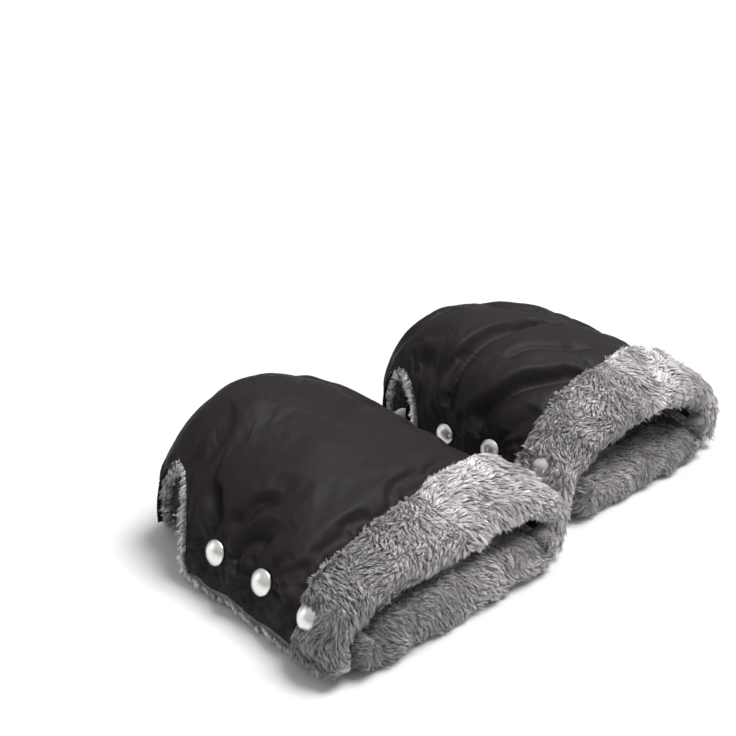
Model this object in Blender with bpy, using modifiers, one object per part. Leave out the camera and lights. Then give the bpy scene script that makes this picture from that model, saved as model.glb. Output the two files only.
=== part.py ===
"""A pair of padded hand muffs for a stroller's handle bar.

Each muff is one long quilted panel folded over the bar. Its top panel forms the arched
pocket and swings up about the fold, its bottom panel forms a tray whose side walls lap
inside the top panel and snap to it. Each panel is three layers (black shell, wadding, plush
lining) that follow one surface worked out from the sizes below.

In a muff's own frame X runs across it along the handle bar, Y from the mouth (-Y) to the
fold (+Y), and Z up from the surface that it lies on.
"""

import math

import bmesh
import bpy
import numpy as np
from mathutils import Matrix, Vector

MM = 0.001

# The pair
PAIR_GAP = 33.6 * MM  # between the two muffs' shells, along the bar
PAIR_STAGGER = 23.2 * MM  # how much further from the user the right muff lies
PAIR_MIDDLE = (0.9 * MM, 0.06 * MM)  # puts the whole pair's box over the origin

# One muff, over its shell
MUFF_LENGTH = 224 * MM  # from the front of the rolled bottom cuff to the fold
MOUTH_WIDTH = 210 * MM
MIDDLE_WIDTH = 210 * MM
FOLD_END_WIDTH = 206 * MM
CREST_HEIGHT = 100 * MM
RIM_HEIGHT = 8 * MM  # of the top panel's lower edge
PAIR_PITCH = max(MOUTH_WIDTH, MIDDLE_WIDTH, FOLD_END_WIDTH) + PAIR_GAP  # between the two muffs' middles
CORNER_LENGTH = 58 * MM  # of the rounding into the fold end, seen from above
CREST_ROUNDING = 42 * MM  # of the rounding down to the fold, seen from the side
FOLD_ROW_SHARE = 0.5  # how wide the last row is, as a share of the row before it

CORNER_POWER, CREST_POWER = 2.7, 2.4  # how square the two roundings are

# At these shares of the length: how high the top panel stands as a share of the crest, how square
# its arch is, and how much higher the arch stands on its left than on its right
ALONG_SHARES = (0.0, 0.14, 0.3, 0.45, 0.6, 0.75, 1.0)
CREST_SHARES = {
    "left": (0.50, 0.56, 0.67, 0.79, 0.90, 1.01, 1.05),
    "right": (0.60, 0.72, 0.86, 0.95, 0.99, 1.0, 0.98),
}
SQUARENESS = {
    "left": (3.8, 3.6, 3.0, 2.5, 2.3, 2.05, 1.97),
    "right": (2.6, 2.6, 2.8, 3.0, 2.9, 2.8, 2.7),
}
LEAN_SHARES = {
    "left": (-0.1, -0.09, -0.06, -0.02, 0.04, 0.1, 0.12),
    "right": (-0.06, -0.04, 0.0, 0.02, 0.05, 0.09, 0.12),
}

# The three layers of a panel, outside to inside
SHELL = 0.8 * MM
WADDING = 4.0 * MM
LINING = 5.0 * MM
CLEARANCE = 0.3 * MM  # between pieces that touch
PANEL = SHELL + WADDING + LINING + 2 * CLEARANCE

# The cuffs
CUFF_LEAF = 7.5 * MM  # pile turned back over the shell
CUFF_DEPTH = {"left": (38 * MM, 66 * MM), "right": (44 * MM, 62 * MM)}  # at each muff's left and right rim
CUFF_THIN_SHARES = (0.35, 0.8)  # of the pile at the rim and at the next line
CUFF_SINK = 1.2 * MM  # into the shell, before the cuff is cut to fit it
CUFF_FRONT_CLEARANCE = 0.9 * MM  # in front of the layers' edges, which aren't flat
CUFF_EDGE_SHARE = 0.1  # where the cuff ends, between the rim and the next line
CUFF_NOSE = 9 * MM  # how far the folded edge stands in front of the layers
ROLL_NOSE = 15 * MM
ROLL_DEPTH = 36 * MM
ROLL_CLEARANCE = 0.45 * MM
ROLL_BULGE = 10 * MM  # how far the rolled bottom cuff rises above the lining
ROLL_WALL_SHARES = (0.0, 0.0, 0.0, 0.6)  # of its bulge, from a wall's top down to the tray's corner

# The cuffs' outlines, as shares. Top cuff: way to the mouth and height of the pile from its back
# edge on, then way to its front and height (above the shell) or depth (below it) round its nose.
# Rolled cuff: way to its front and depth inside the shell, then way back and height over the lining.
CUFF_TOP_SHARES = ((0.0, 0.5), (0.16, 1.0), (0.6, 1.05))
CUFF_NOSE_SHARES = ((0.0, 1.0), (0.7, 0.72), (1.0, 0.1), (1.0, -0.55), (0.6, -0.93), (-0.13, -0.93))
ROLL_NOSE_SHARES = ((0.0, 0.0), (0.6, 0.0), (0.95, 0.2), (1.0, 0.5), (0.88, 0.8), (0.4, 1.0))
ROLL_BACK_SHARES = ((0.5, 1.0), (0.9, 0.6), (1.0, 0.0), (0.0, 0.0))

# The opening for the bar in each side, and the lap's loose fit
BAR_SHARE = 0.7902  # where the opening's middle is, as a share of the muff's length
BAR_OPENING_LENGTH = 62 * MM
BAR_OPENING_TOP = 61 * MM
BAR_ARCH_POWER = 1.75  # how square the opening's arch is
LAP_CLEARANCE = 3.4 * MM
PIPING = 6.4 * MM
PIPING_CLEARANCE = 0.5 * MM
PIPING_END_SHARE = 0.8  # of its thickness, at its two ends

# The bottom panel's walls
TRAY_CORNER = 12 * MM
TRAY_BEND_SHARES = ((0.06, 0.42), (0.6, 0.12), (1.8, 0.0))  # the corner's points: along the floor, up the wall
TRAY_END_LIFT = 0.35 * MM  # keeps the narrow end off the floor
LOW_WALL = 5 * MM  # what is left of the wall below the bar
BAR_DROP_SHARE = 0.8  # where the wall has come down, as a share of the way from the opening's middle to its front

# The snaps
SNAP_SHARES = (0.1473, 0.3527, 0.5491)  # where the snaps are, as shares of the muff's length
SNAP_FROM_EDGE = {"left": (21 * MM, 22 * MM, 22 * MM), "right": (28 * MM, 25 * MM, 22 * MM)}
SNAP_CELL = 20 * MM  # the flat patch that each snap pinches
SNAP_PULL = (0.0, 2.5 * MM, 2.5 * MM)
CUFF_SNAP_RAISE = 3.0 * MM  # the cuff's snap sits on half-crushed pile
CAP_RADIUS = 8.5 * MM
CAP_RIM = 0.9 * MM
CAP_DOME = 3.2 * MM
SHANK_RADIUS = 1.5 * MM
SHANK_CLEARANCE = 0.35 * MM
SOCKET_RADIUS = 6.0 * MM
SOCKET_MOUTH = 4.4 * MM
SNAP_PLATE = 1.2 * MM
STUD_RADIUS = 3.6 * MM
STUD_TIP = 1.4 * MM
STUD_HEIGHT = 0.8 * MM
POST_RADIUS = 3.4 * MM
POST_PLATE = 1.0 * MM
CAP_SIDES, RING_SIDES, HOLE_SIDES = 10, 8, 6

# The cloth strip of the fold
BINDING = 1.2 * MM
BINDING_GAP = 0.6 * MM
BINDING_DROP = 1.0 * MM  # below the top panel's rim
BINDING_WIDTH = 60 * MM
BINDING_SAG = 4.4 * MM

# Folds that the snaps draw in the top panel: place along the muff, slant, depth and width
FOLDS = {
    "left": ((-56 * MM, 0.10, 2.2 * MM, 13 * MM), (-6 * MM, -0.05, 2.6 * MM, 13 * MM)),
    "right": (
        (-44 * MM, 0.34, 5.0 * MM, 13 * MM),
        (-4 * MM, 0.42, 5.4 * MM, 13 * MM),
        (38 * MM, 0.46, 4.0 * MM, 13 * MM),
    ),
}
FOLD_START = 46 * MM  # clear of the lap, which stays smooth
FOLD_FADE = 22 * MM
LAYER_FADE = 14 * MM

CELLS_UP_SIDE = 4  # of the arch, above the snaps
SECTION_STEPS = 400

FRONT = -MUFF_LENGTH / 2
PANEL_FRONT = FRONT + ROLL_NOSE
FOLD_END = MUFF_LENGTH / 2
SNAP_Y = tuple(FRONT + share * MUFF_LENGTH for share in SNAP_SHARES)
BAR_Y = FRONT + BAR_SHARE * MUFF_LENGTH
HALF_CELL = SNAP_CELL / 2
BAR_HALF = BAR_OPENING_LENGTH / 2
HINGE = (0.0, FOLD_END, RIM_HEIGHT)

for old in list(bpy.data.objects):
    bpy.data.objects.remove(old)


def collection(name):
    made = bpy.data.collections.new(name)
    bpy.context.scene.collection.children.link(made)
    return made


PARTS = collection("stroller_hand_muffs")
CUTTERS = collection("cutters")


def material(name, colour, roughness, metallic=0.0):
    made = bpy.data.materials.new(name)
    made.use_nodes = True
    shader = made.node_tree.nodes["Principled BSDF"]
    shader.inputs["Base Color"].default_value = (*colour, 1.0)
    shader.inputs["Roughness"].default_value = roughness
    shader.inputs["Metallic"].default_value = metallic
    return made


BLACK = material("black_polyester", (0.016, 0.014, 0.015), 0.45)
WHITE = material("white_wadding", (0.8, 0.8, 0.78), 0.95)
GREY = material("grey_plush", (0.30, 0.285, 0.29), 0.95)
NICKEL = material("nickel", (0.78, 0.76, 0.72), 0.15, 1.0)


# Curves and surfaces of the muff


def eased(x, places, values):
    """A smooth curve through the values that doesn't overshoot between them."""
    places, values = np.asarray(places, float), np.asarray(values, float)
    step = np.diff(places)
    slope = np.diff(values) / step
    tangent = np.zeros(len(values))
    same = slope[:-1] * slope[1:] > 0
    tangent[1:-1][same] = 2 * slope[:-1][same] * slope[1:][same] / (slope[:-1] + slope[1:])[same]
    x = np.clip(x, places[0], places[-1])
    at = np.clip(np.searchsorted(places, x, side="right") - 1, 0, len(step) - 1)
    t = (x - places[at]) / step[at]
    return (
        values[at] * (1 + 2 * t) * (1 - t) ** 2
        + values[at + 1] * t * t * (3 - 2 * t)
        + step[at] * (tangent[at] * t * (1 - t) ** 2 - tangent[at + 1] * t * t * (1 - t))
    )


def rounding(y, length, end, power):
    """1 along the straight part, falling to 0 at the end as a superellipse's quarter."""
    share = np.clip((y - (end - length)) / length, 0, 1)
    return (1 - share**power) ** (1 / power)


def half_width(y, inset):
    """Half the muff's width at y, with its outline drawn in by inset."""
    straight = eased(y, (FRONT, 0.0, FOLD_END), (MOUTH_WIDTH / 2, MIDDLE_WIDTH / 2, FOLD_END_WIDTH / 2))
    return (straight - inset) * rounding(y, CORNER_LENGTH, FOLD_END - inset, CORNER_POWER)


def crest(y, side, inset):
    """The top panel's height above its rim at y."""
    along = FRONT + np.asarray(ALONG_SHARES) * MUFF_LENGTH
    height = eased(y, along, np.asarray(CREST_SHARES[side]) * CREST_HEIGHT) - RIM_HEIGHT - inset
    return height * rounding(y, CREST_ROUNDING, FOLD_END - inset, CREST_POWER)


def arch_rise(y):
    """How far the side's edge is cut up above the rim for the bar."""
    share = np.clip(np.abs(y - BAR_Y) / BAR_HALF, 0, 1)
    return (BAR_OPENING_TOP - RIM_HEIGHT) * (1 - share**BAR_ARCH_POWER) ** (1 / BAR_ARCH_POWER)


def arch_section(y, side, inset):
    """Points of the arched section at y, from the left rim to the right one."""
    along = FRONT + np.asarray(ALONG_SHARES) * MUFF_LENGTH
    power = 2 / eased(y, along, SQUARENESS[side])
    lean = eased(y, along, LEAN_SHARES[side])
    angle = np.linspace(0, math.pi, SECTION_STEPS)
    cos, sin = np.cos(angle), np.clip(np.sin(angle), 0, 1)
    across = -np.sign(cos) * np.abs(cos) ** power
    return np.stack([half_width(y, inset) * across, crest(y, side, inset) * sin**power * (1 - lean * across)], 1)


def halves(section):
    """The section's left and right halves, each from its rim up to the middle."""
    half = SECTION_STEPS // 2
    middle = (section[half - 1 : half] + section[half : half + 1]) / 2
    return [np.concatenate([part, middle]) for part in (section[:half], section[: half - 1 : -1])]


def joined(left, right):
    """Both halves' points in one line from the left rim to the right one."""
    return np.concatenate([left, right[-2::-1]])


def run_along(points):
    """Each point's distance along its line."""
    return np.concatenate([[0], np.cumsum(np.linalg.norm(np.diff(points, axis=0), axis=1))])


def at_lengths(points, lengths):
    """The points of a line at these distances along it."""
    run = run_along(points)
    return np.stack([np.interp(lengths, run, points[:, k]) for k in (0, 1)], 1)


def clipped(half, rise):
    """A half section above a rise, as the bar's opening leaves it."""
    if rise <= half[0, 1]:
        return half
    start = (np.interp(rise, half[:, 1], half[:, 0]), rise)
    return np.concatenate([[start], half[half[:, 1] > rise]])


def from_edge(y, side):
    """How far up the side the snaps' line runs at y."""
    return eased(y, SNAP_Y, SNAP_FROM_EDGE[side])


def lines_up(total, middle):
    """Lengths from the rim of the lines that run along the muff: the flat patch, then even cells to the crest."""
    low, high = middle - HALF_CELL, middle + HALF_CELL
    squeeze = min(1.0, total / (2 * high))
    return np.concatenate([[0, low * squeeze], np.linspace(high * squeeze, total, CELLS_UP_SIDE + 1)])


def top_surface(rows, side, inset):
    """The top panel's surface on a grid of rows along Y, drawn in by inset."""
    grid = []
    for y in rows:
        lean = float(eased(y, FRONT + np.asarray(ALONG_SHARES) * MUFF_LENGTH, LEAN_SHARES[side]))
        rises = (arch_rise(y) * (1 + lean), arch_rise(y) * (1 - lean))
        parts = [clipped(half, rise) for half, rise in zip(halves(arch_section(y, side, inset)), rises)]
        line = joined(*[at_lengths(half, lines_up(run_along(half)[-1], from_edge(y, side))) for half in parts])
        grid.append(np.stack([line[:, 0], np.full(len(line), y), line[:, 1] + RIM_HEIGHT], 1))
    return np.array(grid)


def top_rows(inset):
    """The rows of the top panel: by each snap's patch, round the bar's opening and into the fold."""
    patches = [s + k * HALF_CELL for s in SNAP_Y for k in (-1, 1)]
    between = [(patches[1] + patches[2]) / 2, (patches[3] + patches[4]) / 2]
    round_bar = [BAR_Y + k * BAR_HALF for k in (-1, -0.9, -0.66, -0.3, 0.12, 0.5, 0.8, 1)]
    last = FOLD_END - inset
    corner = CORNER_LENGTH - inset
    bend = [last - corner * k for k in (0.12, 0.04)]
    return np.array(sorted([PANEL_FRONT, *patches, *between, *round_bar, *bend]))


def with_fold_row(grid, inset):
    """The grid with a last row on the rim, which closes the fold end."""
    last = grid[-1].copy()
    last[:, 0] = np.linspace(-1, 1, len(last)) * FOLD_ROW_SHARE * last[-1, 0]
    last[:, 1] = FOLD_END - inset
    last[:, 2] = RIM_HEIGHT
    return np.concatenate([grid, last[None]])


def normals(grid):
    """Unit normals of a grid's points, outwards for a grid that runs left to right over the top."""
    across = np.gradient(grid, axis=1)
    along = np.gradient(grid, axis=0)
    n = np.cross(across, along)
    return n / np.maximum(np.linalg.norm(n, axis=2, keepdims=True), 1e-12)


def folded(grid, side):
    """The grid with the folds that run up from the snaps pressed in."""
    n = normals(grid)
    depth = np.zeros(grid.shape[:2])
    reach = np.linalg.norm(np.diff(grid, axis=1), axis=2)
    up = np.concatenate([np.zeros((len(grid), 1)), np.cumsum(reach, axis=1)], 1)
    from_edge = np.minimum(up, up[:, -1:] - up)
    for place, slant, deep, wide in FOLDS[side]:
        off = grid[..., 1] - place - slant * (grid[..., 0] + MIDDLE_WIDTH / 2)
        depth = depth + deep * np.exp(-((off / wide) ** 2))
    fade = np.clip((from_edge - FOLD_START) / FOLD_FADE, 0, 1)
    ends = np.clip((FOLD_END - BAR_HALF - grid[..., 1]) / FOLD_FADE, 0, 1)
    mouth = np.clip((grid[..., 1] - (FRONT + max(CUFF_DEPTH[side]))) / LAYER_FADE, 0, 1)
    return grid - n * (depth * fade * ends * mouth)[..., None]


def patch_corners(rows, snap, right):
    """The row and line numbers of one snap's flat patch."""
    row = int(np.argmin(np.abs(rows - (SNAP_Y[snap] - HALF_CELL))))
    line = 2 * (CELLS_UP_SIDE + 2) - 2 if right else 1
    return row, line


def patch_plane(grid, row, line):
    """Middle and outward axis of the cell that starts at this row and line."""
    a, b = grid[row, line], grid[row + 1, line]
    c, d = grid[row + 1, line + 1], grid[row, line + 1]
    axis = np.cross(c - a, b - d)
    return (a + b + c + d) / 4, axis / np.linalg.norm(axis)


def flattened(grid, rows):
    """The grid with each snap's patch made flat and drawn in, and the patches' planes."""
    grid, planes = grid.copy(), []
    for right in (False, True):
        for snap, pull in enumerate(SNAP_PULL):
            row, line = patch_corners(rows, snap, right)
            middle, axis = patch_plane(grid, row, line)
            for i in (row, row + 1):
                for j in (line, line + 1):
                    point = grid[i, j]
                    grid[i, j] = point - axis * (np.dot(point - middle, axis) + pull)
            planes.append((middle - axis * pull, axis, snap))
    return grid, planes


# The bottom panel's tray


def tray_half(half, y, side, inset):
    """Half of the bottom panel's section at y, from its wall's top down to the floor; half is the top panel's."""
    step = PANEL + LAP_CLEARANCE
    low, high = from_edge(y, side) - HALF_CELL, from_edge(y, side) + HALF_CELL
    drop = float(eased(y, (SNAP_Y[2] + HALF_CELL, BAR_Y - BAR_HALF * BAR_DROP_SHARE), (0.0, 1.0)))
    lengths = np.array([high, low]) * (1 - drop) + np.array([LOW_WALL * 2, LOW_WALL]) * drop
    points = at_lengths(half, lengths)
    way = at_lengths(half, lengths + CLEARANCE) - points
    way /= np.linalg.norm(way, axis=1, keepdims=True)
    sign = -1 if half[0, 0] < 0 else 1
    wall = points + np.stack([way[:, 1], -way[:, 0]], 1) * (-sign * step) + (0, RIM_HEIGHT)
    outline = half_width(y, inset + step)
    wall[:, 0] = sign * np.minimum(sign * wall[:, 0], outline)
    foot = min(sign * wall[1, 0], outline)
    bend = wall[1, 1] - inset
    corner = [(sign * (foot - along * TRAY_CORNER), inset + up * bend) for along, up in TRAY_BEND_SHARES]
    return np.concatenate([wall, corner, [[0.0, inset]]])


def tray_surface(rows, side):
    """The bottom panel's middle surface from its left wall's top down, across and up to the right one."""
    inset = PANEL / 2
    grid = []
    for y in rows:
        line = joined(*[tray_half(half, y, side, inset) for half in halves(arch_section(y, side, inset))])
        grid.append(np.stack([line[:, 0], np.full(len(line), y), line[:, 1]], 1))
    grid[-1][:, 2] += TRAY_END_LIFT
    return np.array(grid)


def tray_rows():
    patches = [s + k * HALF_CELL for s in SNAP_Y for k in (-1, 1)]
    rear = BAR_Y - BAR_HALF * BAR_DROP_SHARE
    last = FOLD_END - PANEL * 1.5 - LAP_CLEARANCE
    corner = CORNER_LENGTH - PANEL * 1.5 - LAP_CLEARANCE
    turn = [last - corner * k for k in (0.3, 0.15)]
    return np.array(sorted([PANEL_FRONT, *patches, rear, BAR_Y, *turn]))


# Making objects


def add(name, data, parent, place, slot, cutters=False):
    made = bpy.data.objects.new(name, data)
    (CUTTERS if cutters else PARTS).objects.link(made)
    made.parent, made.location = parent, place
    if cutters:
        made.hide_render, made.display_type = True, "WIRE"
    elif slot:
        data.materials.append(slot)
    return made


def grid_mesh(name, grid):
    """A grid primitive whose points take the places of a table of rows."""
    bm = bmesh.new()
    rows, lines = grid.shape[:2]
    bmesh.ops.create_grid(bm, x_segments=lines - 1, y_segments=rows - 1, size=1)
    for v in bm.verts:
        j = round((v.co.x + 1) / 2 * (lines - 1))
        i = round((v.co.y + 1) / 2 * (rows - 1))
        v.co = Vector(grid[i, j])
    bmesh.ops.triangulate(bm, faces=bm.faces, quad_method="SHORT_EDGE")
    made = bpy.data.meshes.new(name)
    bm.to_mesh(made)
    bm.free()
    made.shade_smooth()
    return made


def moved_out(mesh, shape):
    """A function that gives the mesh's table of points moved out by a distance, as its layers' even thickness moves them."""
    bm = bmesh.new()
    bm.from_mesh(mesh)
    bm.normal_update()
    points = np.array([v.co for v in bm.verts]).reshape(shape)
    ways = np.array([v.normal * v.calc_shell_factor() for v in bm.verts]).reshape(shape)
    bm.free()
    return lambda out: points + ways * out


def layer(name, mesh, outer, thickness, parent, place, slot):
    """One layer of a panel: the panel's middle surface with a thickness, whose outer side lies this far outside it."""
    made = add(name, mesh.copy(), parent, place, slot)
    solid = made.modifiers.new("thickness", "SOLIDIFY")
    solid.thickness, solid.offset = thickness, 2 * outer / thickness - 1
    solid.use_even_offset = True
    return made


def panel_layers(prefix, mesh, parent, place):
    """The shell, the wadding and the lining, outside to inside, on one middle surface."""
    outer, made = PANEL / 2, []
    for name, thick, slot in (("shell", SHELL, BLACK), ("wadding", WADDING, WHITE), ("lining", LINING, GREY)):
        made.append(layer(f"{prefix}_{name}", mesh, outer, thick, parent, place, slot))
        outer -= thick + CLEARANCE
    return made


def carried(name, rings, parent, place, slot):
    """A closed profile carried along a path: one ring of points for each step of the path."""
    bm = bmesh.new()
    steps, around = rings.shape[:2]
    bmesh.ops.create_grid(bm, x_segments=around, y_segments=steps - 1, size=1)
    for v in bm.verts:
        j = round((v.co.x + 1) / 2 * around) % around
        i = round((v.co.y + 1) / 2 * (steps - 1))
        v.co = Vector(rings[i, j])
    bmesh.ops.remove_doubles(bm, verts=bm.verts, dist=CLEARANCE / 1000)
    bmesh.ops.holes_fill(bm, edges=[e for e in bm.edges if e.is_boundary])
    bmesh.ops.recalc_face_normals(bm, faces=bm.faces)
    made = bpy.data.meshes.new(name)
    bm.to_mesh(made)
    bm.free()
    made.shade_smooth()
    made.set_sharp_from_angle(angle=math.radians(50))
    return add(name, made, parent, place, slot)


def turned(bm, profile, sides):
    """A profile of (radius, height) pairs, closed on its axis or round a hole, turned about Z."""
    points = [bm.verts.new((r, 0, h)) for r, h in profile]
    ring = profile[0][0] > 0
    edges = [bm.edges.new(pair) for pair in zip(points, points[1:] + points[:1] if ring else points[1:])]
    bmesh.ops.spin(
        bm, geom=points + edges, cent=(0, 0, 0), axis=(0, 0, 1), angle=2 * math.pi, steps=sides, use_merge=True
    )
    bmesh.ops.remove_doubles(bm, verts=bm.verts, dist=CLEARANCE / 1000)
    bmesh.ops.recalc_face_normals(bm, faces=bm.faces)


def turned_mesh(name, profile, sides):
    bm = bmesh.new()
    turned(bm, profile, sides)
    made = bpy.data.meshes.new(name)
    bm.to_mesh(made)
    bm.free()
    made.shade_smooth()
    made.set_sharp_from_angle(angle=math.radians(40))
    return made


def upright(axis):
    """The turn that brings Z onto a snap's axis."""
    return Vector((0, 0, 1)).rotation_difference(Vector(axis))


def set_in(name, mesh, where, axis, parent, place):
    """A piece of a snap, set at its place along the snap's axis."""
    made = add(name, mesh, parent, tuple(np.add(place, where)), None if mesh.materials else NICKEL)
    made.rotation_mode = "QUATERNION"
    made.rotation_quaternion = upright(axis)
    return made


def drills(name, holes, sides, parent, place):
    """One cutter that holds a turned drill for each snap."""
    bm = bmesh.new()
    for profile, where, axis in holes:
        own = bmesh.new()
        turned(own, profile, sides)
        bmesh.ops.transform(own, matrix=Matrix.Translation(Vector(where)) @ upright(axis).to_matrix().to_4x4(), verts=own.verts)
        scratch = bpy.data.meshes.new(name)
        own.to_mesh(scratch)
        own.free()
        bm.from_mesh(scratch)
        bpy.data.meshes.remove(scratch)
    made = bpy.data.meshes.new(name)
    bm.to_mesh(made)
    bm.free()
    return add(name, made, parent, place, None, cutters=True)


def cut(target, cutter):
    hole = target.modifiers.new("holes", "BOOLEAN")
    hole.operation, hole.solver, hole.object = "DIFFERENCE", "EXACT", cutter


# The snaps: a cap with its shank, and its socket, on the top panel; a stud, riveted through, on the bottom one


def cap_profile(raised):
    base = PANEL / 2 + CLEARANCE + raised
    inner = -PANEL / 2 - CLEARANCE
    return [
        (0.0, inner),
        (SHANK_RADIUS, inner),
        (SHANK_RADIUS, base),
        (CAP_RADIUS, base),
        (CAP_RADIUS, base + CAP_RIM),
        (CAP_RADIUS * 0.82, base + CAP_RIM + CAP_DOME * 0.52),
        (CAP_RADIUS * 0.5, base + CAP_RIM + CAP_DOME * 0.87),
        (0.0, base + CAP_RIM + CAP_DOME),
    ]


def socket_profile():
    seat = -PANEL / 2 - CLEARANCE
    return [
        (SHANK_RADIUS + SHANK_CLEARANCE, seat),
        (SHANK_RADIUS + SHANK_CLEARANCE, seat - CLEARANCE),
        (SOCKET_MOUTH, seat - CLEARANCE),
        (SOCKET_MOUTH, seat - SNAP_PLATE),
        (SOCKET_RADIUS, seat - SNAP_PLATE),
        (SOCKET_RADIUS, seat),
    ]


def stud_profile():
    """The stud with the post that rivets it from the plush side, one piece once it is set."""
    inside = -PANEL / 2 - CLEARANCE
    seat = PANEL / 2 + CLEARANCE
    top = seat + SNAP_PLATE
    return [
        (0.0, inside - POST_PLATE),
        (POST_RADIUS, inside - POST_PLATE),
        (POST_RADIUS, inside),
        (SHANK_RADIUS, inside),
        (SHANK_RADIUS, seat),
        (SOCKET_RADIUS, seat),
        (SOCKET_RADIUS, top),
        (STUD_RADIUS, top),
        (STUD_TIP, top + STUD_HEIGHT),
        (0.0, top + STUD_HEIGHT),
    ]


def hole_profile(low, high, radius, step_at=None, step_radius=0.0):
    """A drill for a shank, with a wider step above step_at where one is given."""
    drill = [(0.0, low), (radius, low)]
    if step_at is None:
        return drill + [(radius, high), (0.0, high)]
    return drill + [(radius, step_at), (step_radius, step_at), (step_radius, high), (0.0, high)]


# The pieces of one muff


def at_line(table, line):
    """The points of the table's line, or straight between two lines where it isn't a whole number."""
    low = min(int(line), table.shape[1] - 2)
    return table[:, low] + (table[:, low + 1] - table[:, low]) * (line - low)


def at_place(points, rows, y):
    """The point of a line at y, straight between its rows."""
    at = int(np.clip(np.searchsorted(rows, y) - 1, 0, len(rows) - 2))
    return points[at] + (points[at + 1] - points[at]) * (y - rows[at]) / (rows[at + 1] - rows[at])


def cuff_ring(moved, rows, line, depth, pile):
    """The turned-back cuff's outline at one line of the top panel: over the shell, round the mouth, flush with the lining."""
    back = PANEL_FRONT - CUFF_NOSE + depth
    shell = PANEL / 2
    seated = at_line(moved(shell - CUFF_SINK), line)
    ring = []
    for share, high in CUFF_TOP_SHARES:
        points = at_line(moved(shell - CUFF_SINK + pile * high), line)
        ring.append(at_place(points, rows, back - (back - PANEL_FRONT) * share))
    for ahead, high in CUFF_NOSE_SHARES:
        out = shell - CUFF_SINK + pile * high if high > 0 else shell + PANEL * high
        ring.append(at_line(moved(out), line)[0] - (0, CUFF_NOSE * ahead, 0))
    ring.append(seated[0] + (0, CUFF_SINK, 0))
    ring.extend([seated[1], seated[2]])
    ring.append(at_place(seated, rows, rows[3] if back > rows[3] else (rows[2] + back) / 2))
    ring.append(at_place(seated, rows, back))
    return ring


def cuff_rings(side, moved, rows):
    """The cuff's rings, one at each line of the top panel and one just above each rim."""
    last = 2 * (CELLS_UP_SIDE + 2)
    rings = []
    for j in range(last + 1):
        depth = np.interp(j, (0, last), CUFF_DEPTH[side])
        thin = (*CUFF_THIN_SHARES, 1.0)[min(j, last - j, 2)]
        line = min(max(j, CUFF_EDGE_SHARE), last - CUFF_EDGE_SHARE)
        rings.append(cuff_ring(moved, rows, line, depth, CUFF_LEAF * thin))
    return np.array(rings)


def cuff_bed(side, grid, parent, place):
    """The room that the top panel takes up, wider by the clearances, which the cuff is cut to."""
    grid = grid.copy()
    grid[0, :, 1] -= CUFF_FRONT_CLEARANCE
    made = add(f"{side}_cuff_bed", grid_mesh(f"{side}_cuff_bed", grid), parent, place, None, cutters=True)
    solid = made.modifiers.new("thickness", "SOLIDIFY")
    solid.thickness, solid.offset = PANEL + CLEARANCE * 2, 0
    solid.use_even_offset = True
    return made


def roll_rings(moved, rows):
    """The rolled cuff's rings: its profile at each line of the tray, thin up the walls."""
    lines = moved(0).shape[1]
    lining = -PANEL / 2 - ROLL_CLEARANCE
    rings = []
    for j in range(lines):
        share = (*ROLL_WALL_SHARES, 1.0)[min(j, lines - 1 - j, len(ROLL_WALL_SHARES))]
        bulge = lining - ROLL_BULGE * share - CLEARANCE * 3
        back = (ROLL_DEPTH - ROLL_NOSE) * share + CLEARANCE * 8
        span = PANEL / 2 - bulge
        ring = [moved(PANEL / 2 - span * down)[0, j] - (0, ROLL_CLEARANCE + (ROLL_NOSE - ROLL_CLEARANCE) * ahead, 0) for ahead, down in ROLL_NOSE_SHARES]
        for way, high in ROLL_BACK_SHARES:
            ring.append(at_place(moved(lining + (bulge - lining) * high)[:, j], rows, PANEL_FRONT - ROLL_CLEARANCE + back * way))
        rings.append(ring)
    return np.array(rings)


def piping_path(grid, left):
    """Where the edge piping's middle runs: off the rim, square to it in the panel's surface."""
    edge = grid[:-1, 0] if left else grid[:-1, -1]
    n = normals(grid)[:-1, 0 if left else -1]
    tangent = np.gradient(edge, axis=0)
    away = np.cross(n, tangent) if left else np.cross(tangent, n)
    away /= np.linalg.norm(away, axis=1, keepdims=True)
    return edge + away * (PIPING / 2 + PIPING_CLEARANCE)


def piping(name, path, parent, place):
    curve = bpy.data.curves.new(name, "CURVE")
    curve.dimensions = "3D"
    spline = curve.splines.new("POLY")
    spline.points.add(len(path) - 1)
    for i, (point, where) in enumerate(zip(spline.points, path)):
        point.co = (*where, 1.0)
        point.radius = PIPING_END_SHARE if min(i, len(path) - 1 - i) < 2 or i == len(path) - 3 else 1.0
    curve.bevel_depth, curve.bevel_resolution, curve.use_fill_caps = PIPING / 2, 1, True
    return add(name, curve, parent, place, GREY)


def fold_binding(name, parent):
    """The strip of shell cloth that hangs from the tray's back edge to the top panel's rim."""
    start = tray_rows()[-1] + BINDING_GAP
    end = FOLD_END - BINDING / 2
    high = RIM_HEIGHT - BINDING_DROP
    rows = []
    for share in np.linspace(0, 1, 7):
        y = start + (end - start) * share
        z = high - BINDING_SAG * math.sin(math.pi * share) ** 0.7
        rows.append([(x, y, z) for x in np.linspace(-BINDING_WIDTH / 2, BINDING_WIDTH / 2, 5)])
    made = add(name, grid_mesh(name, np.array(rows)), parent, (0, 0, 0), BLACK)
    solid = made.modifiers.new("thickness", "SOLIDIFY")
    solid.thickness, solid.offset = BINDING, 1.0
    return made


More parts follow.
